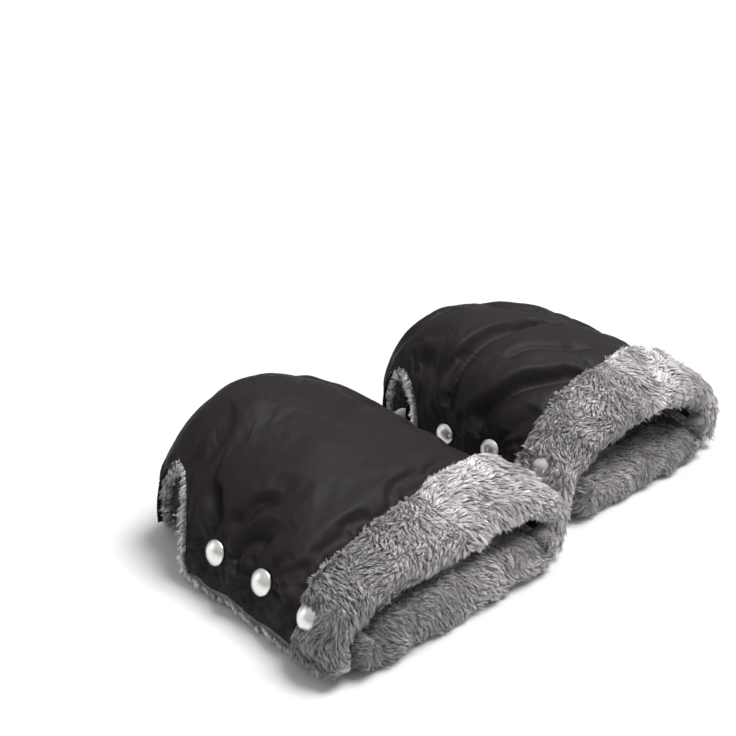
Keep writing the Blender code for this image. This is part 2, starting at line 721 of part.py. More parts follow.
def muff(side, middle):
    """One muff: its bottom panel at rest, and its top panel on the fold's axis."""
    base = bpy.data.objects.new(f"{side}_muff", None)
    hinge = bpy.data.objects.new(f"{side}_fold_axis", None)
    for empty in (base, hinge):
        PARTS.objects.link(empty)
    base.location = middle
    hinge.parent, hinge.location = base, HINGE
    still, swung = (0, 0, 0), tuple(-h for h in HINGE)

    # Top panel
    inset = PANEL / 2
    rows = top_rows(inset)
    plain = top_surface(rows, side, inset)
    pressed, planes = flattened(folded(plain, side), rows)
    grid = with_fold_row(pressed, inset)
    mesh = grid_mesh(f"{side}_top", grid)
    top = panel_layers(f"{side}_top", mesh, hinge, swung)
    cuff = carried(f"{side}_top_cuff", cuff_rings(side, moved_out(mesh, grid.shape), rows), hinge, swung, GREY)
    for name, left in (("left", True), ("right", False)):
        piping(f"{side}_{name}_edge_piping", piping_path(grid, left), hinge, swung)
    cap = turned_mesh(f"{side}_cap", cap_profile(0.0), CAP_SIDES)
    raised_cap = turned_mesh(f"{side}_raised_cap", cap_profile(CUFF_SNAP_RAISE), CAP_SIDES)
    socket = turned_mesh(f"{side}_socket", socket_profile(), RING_SIDES)
    over, shank = PANEL + CUFF_LEAF, SHANK_RADIUS + SHANK_CLEARANCE
    holes, seats = [], []
    for number, (where, axis, snap) in enumerate(planes, 1):
        set_in(f"{side}_snap_cap_{number}", raised_cap if snap == 0 else cap, where, axis, hinge, swung)
        set_in(f"{side}_snap_socket_{number}", socket, where, axis, hinge, swung)
        holes.append((hole_profile(-over, over, shank), where, axis))
        if snap == 0:
            seat = PANEL / 2 + CUFF_SNAP_RAISE
            seats.append((hole_profile(-over, over, shank, seat, CAP_RADIUS + CLEARANCE), where, axis))
    drill = drills(f"{side}_top_drill", holes, HOLE_SIDES, hinge, swung)
    for piece in top:
        cut(piece, drill)
    cut(cuff, cuff_bed(side, grid, hinge, swung))
    cut(cuff, drills(f"{side}_cuff_drill", seats, CAP_SIDES, hinge, swung))

    # Bottom panel
    low_rows = tray_rows()
    tray = tray_surface(low_rows, side)
    step = PANEL + LAP_CLEARANCE
    stud = turned_mesh(f"{side}_stud", stud_profile(), RING_SIDES)
    holes = []
    for number, (where, axis, snap) in enumerate(planes, 1):
        right = where[0] > 0
        row = int(np.argmin(np.abs(low_rows - (SNAP_Y[snap] - HALF_CELL))))
        middle_of = where - axis * step
        for i in (row, row + 1):
            for j in (-1, -2) if right else (0, 1):
                point = tray[i, j]
                tray[i, j] = point - axis * np.dot(point - middle_of, axis)
        set_in(f"{side}_snap_stud_{number}", stud, middle_of, axis, base, still)
        holes.append((hole_profile(-PANEL, PANEL, shank), middle_of, axis))
    tray = tray[:, ::-1]
    mesh = grid_mesh(f"{side}_bottom", tray)
    bottom = panel_layers(f"{side}_bottom", mesh, base, still)
    carried(f"{side}_bottom_cuff", roll_rings(moved_out(mesh, tray.shape), low_rows), base, still, GREY)
    drill = drills(f"{side}_bottom_drill", holes, HOLE_SIDES, base, still)
    for piece in bottom:
        cut(piece, drill)
    fold_binding(f"{side}_fold_binding", base)


for name, sign in (("left", -1), ("right", 1)):
    muff(name, (PAIR_MIDDLE[0] + sign * PAIR_PITCH / 2, PAIR_MIDDLE[1] + sign * PAIR_STAGGER / 2, 0))
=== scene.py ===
# %% [markdown]
# # A pair of plush-lined hand muffs
#
# Each muff is a quilted black pocket with an opening in each side, closed with domed snaps.
# Its plush lining is turned back over the mouth as a deep cuff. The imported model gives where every
# piece is. This lesson dresses it: smooth puffed cloth, pile made of thousands of small locks,
# turned nickel caps and sewn edges.

# %% Set up
import math

import bpy
import numpy as np
from mathutils import Matrix, Vector


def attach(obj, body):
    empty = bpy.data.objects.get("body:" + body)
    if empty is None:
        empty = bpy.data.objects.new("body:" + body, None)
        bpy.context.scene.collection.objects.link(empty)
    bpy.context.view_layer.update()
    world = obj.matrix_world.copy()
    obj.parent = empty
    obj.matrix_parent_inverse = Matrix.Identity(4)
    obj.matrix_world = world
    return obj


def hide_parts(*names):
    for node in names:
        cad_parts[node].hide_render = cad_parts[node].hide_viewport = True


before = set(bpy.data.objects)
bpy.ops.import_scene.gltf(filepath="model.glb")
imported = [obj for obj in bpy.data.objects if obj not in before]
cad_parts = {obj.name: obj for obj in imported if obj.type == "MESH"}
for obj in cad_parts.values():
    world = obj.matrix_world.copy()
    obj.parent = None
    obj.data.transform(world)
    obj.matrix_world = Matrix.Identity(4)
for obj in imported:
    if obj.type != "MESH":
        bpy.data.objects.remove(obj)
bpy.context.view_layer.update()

# %% [markdown]
# ## Sizes
#
# The muff's surfaces are worked out from the same few sizes as the solid model, in millimetres,
# so a dressed piece lies exactly over the one it stands for. A finer grid then leaves room for
# puckers and folds that the solid model is too coarse to carry.

# %% Sizes of one muff
MM = 0.001
MIDDLE = {"left": (-120.9, -11.54), "right": (122.7, 11.66)}
MUFF_LENGTH, HALF_WIDTHS = 224.0, (105.0, 105.0, 103.0)
CREST_HEIGHT, RIM_HEIGHT = 100.0, 8.0
CORNER_LENGTH, CREST_ROUNDING = 58.0, 42.0
CORNER_POWER, CREST_POWER = 2.7, 2.4
ALONG_SHARES = (0.0, 0.14, 0.3, 0.45, 0.6, 0.75, 1.0)
CREST_SHARES = {
    "left": (0.50, 0.56, 0.67, 0.79, 0.90, 1.01, 1.05),
    "right": (0.60, 0.72, 0.86, 0.95, 0.99, 1.0, 0.98),
}
SQUARENESS = {
    "left": (3.8, 3.6, 3.0, 2.5, 2.3, 2.05, 1.97),
    "right": (2.6, 2.6, 2.8, 3.0, 2.9, 2.8, 2.7),
}
LEAN_SHARES = {
    "left": (-0.1, -0.09, -0.06, -0.02, 0.04, 0.1, 0.12),
    "right": (-0.06, -0.04, 0.0, 0.02, 0.05, 0.09, 0.12),
}
SHELL, WADDING, LINING, CLEARANCE = 0.8, 4.0, 5.0, 0.3
PANEL = SHELL + WADDING + LINING + 2 * CLEARANCE
LAP_CLEARANCE = 3.4
STEP = PANEL + LAP_CLEARANCE

ROLL_NOSE, ROLL_DEPTH, ROLL_BULGE = 15.0, 36.0, 10.0
FRONT, FOLD_END = -MUFF_LENGTH / 2, MUFF_LENGTH / 2
PANEL_FRONT = FRONT + ROLL_NOSE
CUFF_LEAF, CUFF_NOSE = 7.5, 9.0
CUFF_DEPTH = {"left": (38.0, 66.0), "right": (44.0, 62.0)}

OPENING_Y, OPENING_HALF, OPENING_TOP, OPENING_POWER = 65.0, 31.0, 61.0, 1.75
SNAP_Y = (-79.0, -33.0, 11.0)
SNAP_UP = {"left": (21.0, 22.0, 22.0), "right": (28.0, 25.0, 22.0)}
PIPING, PIPING_CLEARANCE = 6.4, 0.5
TRAY_CORNER, LOW_WALL, TRAY_END = 12.0, 5.0, 87.1
TRAY_BEND = ((0.06, 0.42), (0.6, 0.12), (1.8, 0.0))
BINDING, BINDING_WIDTH = 1.2, 60.0
SECTION_STEPS, CREST_STEPS = 400, 3000

# %% [markdown]
# ## Smooth curves
#
# A cloth form changes gently from its mouth to its fold. Each size along the muff is a smooth
# curve through a few values, and each end rounds off as a quarter of a superellipse, a shape
# between an ellipse and a box that sewn corners come close to.


# %% Curves along the muff
def eased(x, places, values):
    """Piecewise cubic through (places, values).

    Each slope is the harmonic mean of its two chords, so the curve never overshoots.
    """
    places, values = np.asarray(places, float), np.asarray(values, float)
    step = np.diff(places)
    slope = np.diff(values) / step
    tangent = np.zeros(len(values))
    same = slope[:-1] * slope[1:] > 0
    tangent[1:-1][same] = 2 * slope[:-1][same] * slope[1:][same] / (slope[:-1] + slope[1:])[same]
    x = np.clip(x, places[0], places[-1])
    at = np.clip(np.searchsorted(places, x, side="right") - 1, 0, len(step) - 1)
    t = (x - places[at]) / step[at]
    ends = values[at] * (1 + 2 * t) * (1 - t) ** 2 + values[at + 1] * t * t * (3 - 2 * t)
    return ends + step[at] * (tangent[at] * t * (1 - t) ** 2 - tangent[at + 1] * t * t * (1 - t))


def rounding(y, length, end, power):
    """(1 - s^power)^(1/power), where s runs from 0 to 1 over the last length before end."""
    share = np.clip((y - (end - length)) / length, 0, 1)
    return (1 - share**power) ** (1 / power)


def half_width(y, inset):
    """Half the muff's width at y, drawn in by inset."""
    straight = eased(y, (FRONT, 0.0, FOLD_END), HALF_WIDTHS)
    return (straight - inset) * rounding(y, CORNER_LENGTH, FOLD_END - inset, CORNER_POWER)


ALONG = FRONT + np.asarray(ALONG_SHARES) * MUFF_LENGTH


def crest(y, side, inset):
    """Height of the arch above the rim at y."""
    height = eased(y, ALONG, np.asarray(CREST_SHARES[side]) * CREST_HEIGHT) - RIM_HEIGHT - inset
    return height * rounding(y, CREST_ROUNDING, FOLD_END - inset, CREST_POWER)


def arch_rise(y):
    """How far the side is cut up at its opening: a low superellipse arch."""
    share = np.clip(np.abs(y - OPENING_Y) / OPENING_HALF, 0, 1)
    return (OPENING_TOP - RIM_HEIGHT) * (1 - share**OPENING_POWER) ** (1 / OPENING_POWER)


def smooth(x, low, high):
    """3t^2 - 2t^3 as x goes from low to high."""
    t = np.clip((np.asarray(x) - low) / (high - low), 0, 1)
    return t * t * (3 - 2 * t)


# %% [markdown]
# ## The top panel's sheet
#
# Across the muff the panel is an arch. Its points are laid out by their distance along the cloth,
# so every cell of the grid is about the same size and no pucker is stretched. The sides start at
# the rim, or at the side opening where that is cut higher.


# %% Sheets
def run_along(points):
    """Each point's distance along its line: the running sum of the steps."""
    return np.concatenate([[0], np.cumsum(np.linalg.norm(np.diff(points, axis=0), axis=1))])


def picked(places, run, table):
    """A line's table at these distances along it."""
    return np.stack([np.interp(places, run, column) for column in table.T], -1)


def spaced(points, shares):
    """The points of a line at these shares of its length."""
    run = run_along(points)
    return picked(np.asarray(shares) * run[-1], run, points)


def arch_halves(y, side, inset):
    """Both halves of |x/a|^p + |z/b|^p = 1 with z tilted by lean, each from its rim to the crest."""
    power, lean = 2 / eased(y, ALONG, SQUARENESS[side]), eased(y, ALONG, LEAN_SHARES[side])
    angle = np.linspace(0, math.pi / 2, SECTION_STEPS)
    out, up = np.cos(angle) ** power, np.sin(angle) ** power
    out[-1] = 0
    width, height = half_width(y, inset), crest(y, side, inset)
    return [np.stack([s * width * out, height * up * (1 - lean * s * out)], 1) for s in (-1, 1)], lean


def top_sheet(side, inset, rows, half):
    """Grid (rows + 1, 2 half - 1, 3) of the arch from the left rim to the right one.

    Steps are even along the crest, and the last row closes the sheet at the fold.
    """
    end = FOLD_END - inset
    fine = PANEL_FRONT + (end - 0.02 - PANEL_FRONT) * np.sin(np.linspace(0, math.pi / 2, CREST_STEPS))
    along = spaced(np.stack([fine, crest(fine, side, inset)], 1), np.linspace(0, 1, rows))[:, 0]
    shares, grid = np.linspace(0, 1, half), []
    for y in along:
        halves, lean = arch_halves(y, side, inset)
        lines = []
        for line, s in zip(halves, (-1, 1)):
            rise = arch_rise(y) * (1 - s * lean)
            if rise > 0:
                start = (np.interp(rise, line[:, 1], line[:, 0]), rise)
                line = np.concatenate([[start], line[line[:, 1] > rise]])
            lines.append(spaced(line, shares))
        line = np.concatenate([lines[0], lines[1][-2::-1]])
        grid.append(np.stack([line[:, 0], np.full(len(line), y), line[:, 1] + RIM_HEIGHT], 1))
    last = grid[-1].copy()
    last[:, 1], last[:, 2] = end, RIM_HEIGHT
    return np.array([*grid, last])


def unit(vectors):
    """Each vector over its own length."""
    return vectors / np.maximum(np.linalg.norm(vectors, axis=-1, keepdims=True), 1e-9)


def outward(grid, flip=False):
    """Unit normals of a grid: the cross product of its two directions."""
    n = unit(np.cross(np.gradient(grid, axis=1), np.gradient(grid, axis=0)))
    return -n if flip else n


def from_rims(grid):
    """How far along the cloth each point is from the nearer rim, and whether that is the right one."""
    run = np.cumsum(np.linalg.norm(np.diff(grid, axis=1, prepend=grid[:, :1]), axis=2), axis=1)
    rest = run[:, -1:] - run
    return np.minimum(run, rest), rest < run


def finer(grid):
    """Twice as fine a grid: a new point is (-1, 9, 9, -1)/16 of four neighbours, so curves stay round."""
    for axis in (0, 1):
        g = np.moveaxis(grid, axis, 0)
        padded = np.concatenate([2 * g[:1] - g[1:2], g, 2 * g[-1:] - g[-2:-1]])
        between = (9 * (padded[1:-2] + padded[2:-1]) - padded[:-3] - padded[3:]) / 16
        made = np.empty((2 * len(g) - 1, *g.shape[1:]))
        made[::2], made[1::2] = g, between
        grid = np.moveaxis(made, 0, axis)
    return grid


def waves(points, size, seed, count=14, stretch=(1, 1, 1)):
    """Smooth noise, mostly within -1..1: a sum of cosines in seeded directions, about size long."""
    rng = np.random.default_rng(seed)
    ways = rng.normal(size=(count, 3))
    far = np.linalg.norm(ways, axis=1, keepdims=True)
    ways *= 2 * math.pi / size * rng.uniform(0.7, 1.4, (count, 1)) / far
    phase = points @ (ways / np.asarray(stretch)).T + rng.uniform(0, 7, count)
    return np.cos(phase).sum(-1) * math.sqrt(2 / count) / 1.6


# %% [markdown]
# ## Meshes
#
# Every surface is a table of points. A slab joins two tables that lie over each other into a
# closed sheet with a thickness, and a tube closes a table of rings with a fan at each end.


# %% Mesh makers
def mesh_of(name, points, faces, side, smooth_shading=True):
    """A mesh from a table of points in the muff's own millimetres and one or more tables of faces."""
    faces = faces if isinstance(faces, list) else [faces]
    points = (points.reshape(-1, 3) + (*MIDDLE[side], 0)) * MM
    corners = np.concatenate([f.ravel() for f in faces])
    sizes = np.concatenate([np.full(len(f), f.shape[1]) for f in faces])
    mesh = bpy.data.meshes.new(name)
    mesh.vertices.add(len(points))
    mesh.vertices.foreach_set("co", points.ravel())
    mesh.loops.add(len(corners))
    mesh.loops.foreach_set("vertex_index", corners.astype(np.int32))
    mesh.polygons.add(len(sizes))
    starts = np.concatenate([[0], np.cumsum(sizes)[:-1]])
    mesh.polygons.foreach_set("loop_start", starts.astype(np.int32))
    mesh.update(calc_edges=True)
    if smooth_shading:
        mesh.shade_smooth()
    return mesh


def cells(rows, lines, wrap=False):
    """Quads of a grid, each turned so that its face points along (across x along)."""
    i, j = np.meshgrid(np.arange(rows - 1), np.arange(lines if wrap else lines - 1), indexing="ij")
    k = (j + 1) % lines
    corners = [i * lines + j, i * lines + k, (i + 1) * lines + k, (i + 1) * lines + j]
    return np.stack(corners, -1).reshape(-1, 4)


def slab_faces(rows, lines):
    """Faces of two stacked grids, the outer one first, and of the border between them."""
    outer = cells(rows, lines)
    n = rows * lines
    table = np.arange(n).reshape(rows, lines)
    border = np.concatenate([table[0], table[1:, -1], table[-1, -2::-1], table[-2:0:-1, 0]])
    after = np.roll(border, -1)
    sides = np.stack([after, border, border + n, after + n], 1)
    return np.concatenate([outer, outer[:, ::-1] + n, sides])


def placed(name, mesh, body, slot, material, *nodes):
    """A finished piece: in the scene, on its body, in place of its CAD nodes."""
    made = bpy.data.objects.new(name, mesh)
    bpy.context.scene.collection.objects.link(made)
    if not mesh.materials:
        mesh.materials.append(material)
    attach(made, body)
    if nodes:
        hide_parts(*nodes)
    return made


def slab(name, outer, inner, side, body, slot, material, *nodes):
    """A closed sheet between two grids of the same shape."""
    points = np.concatenate([outer.reshape(-1, 3), inner.reshape(-1, 3)])
    mesh = mesh_of(name, points, slab_faces(*outer.shape[:2]), side)
    return placed(name, mesh, body, slot, material, *nodes)


def rings_faces(steps, around):
    """Faces of a table of rings, and of a fan at each end round two points that follow the table."""
    k, end = np.arange(around), (steps - 1) * around
    after = (k + 1) % around
    first = np.stack([k, np.full(around, end + around), after], 1)
    last = np.stack([after + end, np.full(around, end + around + 1), k + end], 1)
    return [cells(steps, around, wrap=True), first, last]


def tube_mesh(name, rings, side):
    """A closed body from a table of rings; each end is a fan round the ring's middle."""
    points = np.concatenate([rings.reshape(-1, 3), rings[0].mean(0)[None], rings[-1].mean(0)[None]])
    return mesh_of(name, points, rings_faces(*rings.shape[:2]), side)


def spokes(count, first, second):
    """cos(a) first + sin(a) second at even angles, for one pair of directions or a table of pairs."""
    angle = np.linspace(0, 2 * math.pi, count, endpoint=False)
    return np.cos(angle)[:, None] * first[..., None, :] + np.sin(angle)[:, None] * second[..., None, :]


print("mesh makers ready")

# %% [markdown]
# ## Materials
#
# The shell is a black polyester satin: almost no colour of its own, a soft wide gloss, a fine
# weave. The plush is grey with dark roots and pale tips, so each lock carries how far along it a
# point is, and a shade: partly random, partly painted shade in the partings and across the muff.
# Both share one effect, a soft mottle that keeps big areas alive.


# %% Node helpers
def new_material(name):
    """A named material, its nodes and its shader."""
    made = bpy.data.materials.new(name)
    made.use_nodes = True
    tree = made.node_tree
    return made, tree, tree.nodes["Principled BSDF"]


def node(tree, kind, **values):
    """A node with some of its inputs or settings given by name."""
    made = tree.nodes.new(kind)
    for key, value in values.items():
        if key in made.inputs:
            made.inputs[key].default_value = value
        else:
            setattr(made, key, value)
    return made


def ramp(tree, source, stops):
    """Colours, or greys, at places from 0 to 1."""
    made = tree.nodes.new("ShaderNodeValToRGB")
    while len(made.color_ramp.elements) < len(stops):
        made.color_ramp.elements.new(0.5)
    for element, (place, colour) in zip(made.color_ramp.elements, stops):
        element.position = place
        element.color = (*(colour if isinstance(colour, tuple) else (colour,) * 3), 1)
    tree.links.new(source, made.inputs["Fac"])
    return made.outputs["Color"]


def painted(tree, shader, socket, source, *stops):
    """One input of a shader, led through a ramp."""
    tree.links.new(ramp(tree, source, stops), shader.inputs[socket])


def maths(tree, operation, a, b):
    """One step of arithmetic on values or sockets."""
    made = tree.nodes.new("ShaderNodeMath")
    made.operation = operation
    for socket, value in zip(made.inputs, (a, b)):
        if isinstance(value, (int, float)):
            socket.default_value = value
        else:
            tree.links.new(value, socket)
    return made.outputs[0]


def times(tree, a, b):
    """Two colours multiplied."""
    made = node(tree, "ShaderNodeMix", data_type="RGBA", blend_type="MULTIPLY")
    made.inputs[0].default_value = 1.0
    tree.links.new(a, made.inputs[6])
    tree.links.new(b, made.inputs[7])
    return made.outputs[2]


def mottle_group():
    """Two noises on object coordinates as one value from 0 to 1: large clouds with a little grain."""
    group = bpy.data.node_groups.new("soft_mottle", "ShaderNodeTree")
    for name in ("Cloud size", "Grain size", "Grain share"):
        group.interface.new_socket(name, in_out="INPUT", socket_type="NodeSocketFloat")
    group.interface.new_socket("Value", in_out="OUTPUT", socket_type="NodeSocketFloat")
    ins, outs = group.nodes.new("NodeGroupInput"), group.nodes.new("NodeGroupOutput")
    where = group.nodes.new("ShaderNodeTexCoord")
    noises = []
    for key in ("Cloud size", "Grain size"):
        noise = node(group, "ShaderNodeTexNoise", Detail=3.0)
        group.links.new(where.outputs["Object"], noise.inputs["Vector"])
        group.links.new(ins.outputs[key], noise.inputs["Scale"])
        noises.append(noise.outputs["Fac"])
    mix = group.nodes.new("ShaderNodeMix")
    group.links.new(ins.outputs["Grain share"], mix.inputs["Factor"])
    group.links.new(noises[0], mix.inputs["A"])
    group.links.new(noises[1], mix.inputs["B"])
    group.links.new(mix.outputs["Result"], outs.inputs["Value"])
    return group


MOTTLE = mottle_group()


def mottle(tree, cloud, grain, share):
    """The shared mottle with its own sizes."""
    made = tree.nodes.new("ShaderNodeGroup")
    made.node_tree = MOTTLE
    made.inputs["Cloud size"].default_value = cloud
    made.inputs["Grain size"].default_value = grain
    made.inputs["Grain share"].default_value = share
    return made.outputs["Value"]


def bumped(tree, shader, height, strength, distance):
    """Relief on a shader from a height."""
    made = node(tree, "ShaderNodeBump", Strength=strength, Distance=distance)
    tree.links.new(height, made.inputs["Height"])
    tree.links.new(made.outputs["Normal"], shader.inputs["Normal"])


# %% Black satin and its thread
def satin(name, dark, light, low, high):
    """Two shades and two roughnesses in clouds, with a fine weave and a crinkle as relief."""
    made, tree, shader = new_material(name)
    value = mottle(tree, 22.0, 300.0, 0.25)
    painted(tree, shader, "Base Color", value, (0.3, dark), (0.7, light))
    painted(tree, shader, "Roughness", value, (0.3, low), (0.7, high))
    where = tree.nodes.new("ShaderNodeTexCoord")
    threads = []
    for axis in ("X", "Y"):
        weave = node(tree, "ShaderNodeTexWave", Scale=420.0, Distortion=0.6, bands_direction=axis)
        tree.links.new(where.outputs["Object"], weave.inputs["Vector"])
        threads.append(weave.outputs["Fac"])
    crinkle = node(tree, "ShaderNodeTexNoise", Scale=130.0, Detail=4.0, Roughness=0.55)
    tree.links.new(where.outputs["Object"], crinkle.inputs["Vector"])
    weave = maths(tree, "MULTIPLY", maths(tree, "MULTIPLY", threads[0], threads[1]), 0.12)
    bumped(tree, shader, maths(tree, "ADD", weave, crinkle.outputs["Fac"]), 0.18, 0.0006)
    shader.inputs["Specular IOR Level"].default_value = 0.08
    return made


BLACK = satin("black_satin", (0.0125, 0.01, 0.0107), (0.0185, 0.0152, 0.016), 0.48, 0.6)
THREAD = satin("black_thread", (0.012, 0.011, 0.012), (0.03, 0.027, 0.028), 0.5, 0.65)


# %% Grey plush: its skin and its pile
def plush_skin():
    """The plush's own cloth, seen between the strands: grey, dull and rough."""
    made, tree, shader = new_material("grey_plush_skin")
    value = mottle(tree, 60.0, 420.0, 0.5)
    greys = ((0.25, (0.09, 0.083, 0.086)), (0.55, (0.2, 0.187, 0.193)), (0.8, (0.36, 0.34, 0.346)))
    painted(tree, shader, "Base Color", value, *greys)
    painted(tree, shader, "Roughness", value, (0.2, 0.85), (0.8, 1.0))
    bumped(tree, shader, value, 0.9, 0.004)
    shader.inputs["Specular IOR Level"].default_value = 0.1
    shader.inputs["Sheen Weight"].default_value = 0.3
    return made


def plush_pile(name, root, body, tip):
    """Strand colour by the share of its length, times its shade (random, with painted shade), times a soft
    mottle.
    """
    made, tree, shader = new_material(name)
    along = node(tree, "ShaderNodeAttribute", attribute_name="tip").outputs["Fac"]
    shade = node(tree, "ShaderNodeAttribute", attribute_name="shade").outputs["Fac"]
    colour = ramp(tree, along, ((0.0, root), (0.5, body), (1.0, tip)))
    clouds = ramp(tree, mottle(tree, 24.0, 150.0, 0.3), ((0.36, 0.6), (0.56, 1.1)))
    tree.links.new(times(tree, times(tree, colour, clouds), shade), shader.inputs["Base Color"])
    painted(tree, shader, "Roughness", along, (0.0, 0.95), (1.0, 0.62))
    shader.inputs["Specular IOR Level"].default_value = 0.25
    shader.inputs["Sheen Weight"].default_value = 0.25
    return made


SKIN = plush_skin()
PILE = plush_pile("grey_plush_pile", (0.13, 0.119, 0.121), (0.68, 0.645, 0.648), (1.0, 0.965, 0.96))
EDGE_PILE = plush_pile("pale_edge_pile", (0.6, 0.58, 0.575), (0.9, 0.875, 0.865), (1.0, 0.98, 0.97))


# %% Nickel and wadding
def nickel():
    """Plated metal, a little satined."""
    made, tree, shader = new_material("polished_nickel")
    value = mottle(tree, 90.0, 900.0, 0.4)
    painted(tree, shader, "Base Color", value, (0.3, (0.8, 0.785, 0.76)), (0.7, (0.88, 0.87, 0.85)))
    painted(tree, shader, "Roughness", value, (0.3, 0.3), (0.7, 0.4))
    bumped(tree, shader, value, 0.06, 0.0003)
    shader.inputs["Metallic"].default_value = 1.0
    return made


def wadding():
    """White fibre, dull and fuzzy."""
    made, tree, shader = new_material("white_fibre")
    value = mottle(tree, 70.0, 650.0, 0.55)
    painted(tree, shader, "Base Color", value, (0.3, (0.66, 0.66, 0.64)), (0.7, (0.85, 0.85, 0.83)))
    painted(tree, shader, "Roughness", value, (0.3, 0.9), (0.7, 1.0))
    bumped(tree, shader, value, 0.8, 0.002)
    return made


NICKEL, FIBRE = nickel(), wadding()
print("materials", [made.name for made in (BLACK, THREAD, SKIN, PILE, EDGE_PILE, NICKEL, FIBRE)])

# %% [markdown]
# ## Snaps
#
# A snap is three turned pieces: a domed cap with its shank outside, a socket inside, and a stud
# with its post on the other panel. Each piece's place and axis come from the solid it replaces.
# A turned solid spreads alike in two directions and differently along its axis, so the odd one
# of its three principal directions is the axis.

# %% Turned pieces
CAP_RADIUS, CAP_RIM, CAP_DOME, SHANK = 8.5, 0.9, 3.2, 1.5
SOCKET_RADIUS, SOCKET_MOUTH, SNAP_PLATE = 6.0, 4.4, 1.2
STUD_RADIUS, STUD_TIP, STUD_HEIGHT = 3.6, 1.4, 0.8
POST_RADIUS, POST_PLATE, CUFF_RAISE = 3.4, 1.0, 3.0
TURN_SIDES, SHARP_DEGREES, SNAPS_EACH = 48, 38, 6
ON_CUFF = (1, 4)  # the snaps whose caps sit on the cuff


def node_points(name, side):
    """A CAD node's separate points in its muff's own millimetres."""
    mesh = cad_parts[name].data
    co = np.empty(len(mesh.vertices) * 3)
    mesh.vertices.foreach_get("co", co)
    return np.unique(np.round(co.reshape(-1, 3) / MM, 3), axis=0) - (*MIDDLE[side], 0)


def snap_place(name, side, above_end):
    """The point on a turned piece's axis this far above its inner end, and the axis, outwards."""
    points = node_points(name, side)
    middle = points.mean(0)
    spread, ways = np.linalg.eigh(np.cov((points - middle).T))
    axis = ways[:, np.argmax(np.abs(spread - np.median(spread)))]
    axis = axis * np.sign(axis @ (middle - (0, middle[1], 20)))
    return middle + axis * (((points - middle) @ axis).min() + above_end), axis


def across(axis):
    """Two unit directions square to an axis: the first along the muff as far as it can be."""
    first = np.array([0, 1, 0]) - axis * axis[1]
    first /= np.linalg.norm(first)
    return first, np.cross(axis, first)


def turned_mesh(name, profile, where, axis, side):
    """A profile of (radius, height) turned about the axis: a ring, or a line from axis to axis."""
    profile = np.asarray(profile, float)
    hole = profile[0, 0] > 0
    body = profile if hole else profile[1:-1]
    points = where + body[:, None, :1] * spokes(TURN_SIDES, *across(axis)) + body[:, None, 1:] * axis
    if hole:
        faces = cells(len(body) + 1, TURN_SIDES, wrap=True) % (len(body) * TURN_SIDES)
    else:
        ends = [where + axis * height for height in profile[[0, -1], 1]]
        points = np.concatenate([points.reshape(-1, 3), ends])
        faces = rings_faces(len(body), TURN_SIDES)
    mesh = mesh_of(name, points, faces, side)
    mesh.set_sharp_from_angle(angle=math.radians(SHARP_DEGREES))
    return mesh


def cap_profile(raised):
    """Shank, flat back, rolled rim, then a dome: height = rim + dome (1 - (r/R)^2)^0.8."""
    base, inner = PANEL / 2 + CLEARANCE + raised, -PANEL / 2 - CLEARANCE
    edge = [(CAP_RADIUS - less, high) for less, high in ((0.5, 0), (0.12, 0.16), (0, 0.5), (0.1, 0.78))]
    radii = (CAP_RADIUS - 0.35) * np.cos(np.linspace(0.12, 1.45, 14))
    rise = (1 - (radii / (CAP_RADIUS - 0.2)) ** 2) ** 0.8
    dome = [(r, CAP_RIM + 0.1 + (CAP_DOME - 0.1) * h) for r, h in zip(radii, rise)]
    outside = [(r, base + h) for r, h in [*edge, *dome, (0, CAP_RIM + CAP_DOME)]]
    return [(0, inner), (SHANK, inner), (SHANK, base), *outside]


def socket_profile():
    """A ring with a rolled mouth round a hole for the shank."""
    seat = -PANEL / 2 - CLEARANCE
    hole = SHANK + 0.35
    low = seat - SNAP_PLATE
    return [
        (hole, seat), (hole, seat - 0.3), (SOCKET_MOUTH - 0.2, seat - 0.3), (SOCKET_MOUTH, seat - 0.5),
        (SOCKET_MOUTH, low + 0.25), (SOCKET_MOUTH + 0.25, low), (SOCKET_RADIUS - 0.35, low),
        (SOCKET_RADIUS, low + 0.35), (SOCKET_RADIUS, seat),
    ]  # fmt: skip


def stud_profile():
    """Post plate, shank, stud plate and the round head that the socket's spring grips."""
    inside, seat = -PANEL / 2 - CLEARANCE, PANEL / 2 + CLEARANCE
    top = seat + SNAP_PLATE
    return [
        (0, inside - POST_PLATE), (POST_RADIUS - 0.4, inside - POST_PLATE),
        (POST_RADIUS, inside - POST_PLATE + 0.4), (POST_RADIUS, inside), (SHANK, inside), (SHANK, seat),
        (SOCKET_RADIUS, seat), (SOCKET_RADIUS, top - 0.3), (SOCKET_RADIUS - 0.3, top),
        (STUD_RADIUS, top), (STUD_RADIUS - 0.3, top + 0.35), (STUD_TIP + 0.6, top + STUD_HEIGHT - 0.1),
        (STUD_TIP, top + STUD_HEIGHT), (0, top + STUD_HEIGHT),
    ]  # fmt: skip


SNAPS = {}
for side in MIDDLE:
    caps, studs = [], []
    for number in range(1, SNAPS_EACH + 1):
        caps.append(snap_place(f"{side}_snap_cap_{number}", side, PANEL / 2 + CLEARANCE))
        studs.append(snap_place(f"{side}_snap_stud_{number}", side, PANEL / 2 + CLEARANCE + POST_PLATE))
        raised = CUFF_RAISE if number in ON_CUFF else 0.0
        for word, profile, (where, axis), body in (
            ("cap", cap_profile(raised), caps[-1], "top"),
            ("socket", socket_profile(), caps[-1], "top"),
            ("stud", stud_profile(), studs[-1], "bottom"),
        ):
            name = f"{side}_nickel_{word}_{number}"
            mesh = turned_mesh(name, profile, where, axis, side)
            placed(name, mesh, f"{side}_{body}_panel", "nickel", NICKEL, f"{side}_snap_{word}_{number}")
    SNAPS[side] = (caps, studs)
    print(side, "caps at", np.round([c[0] for c in caps], 1).tolist())

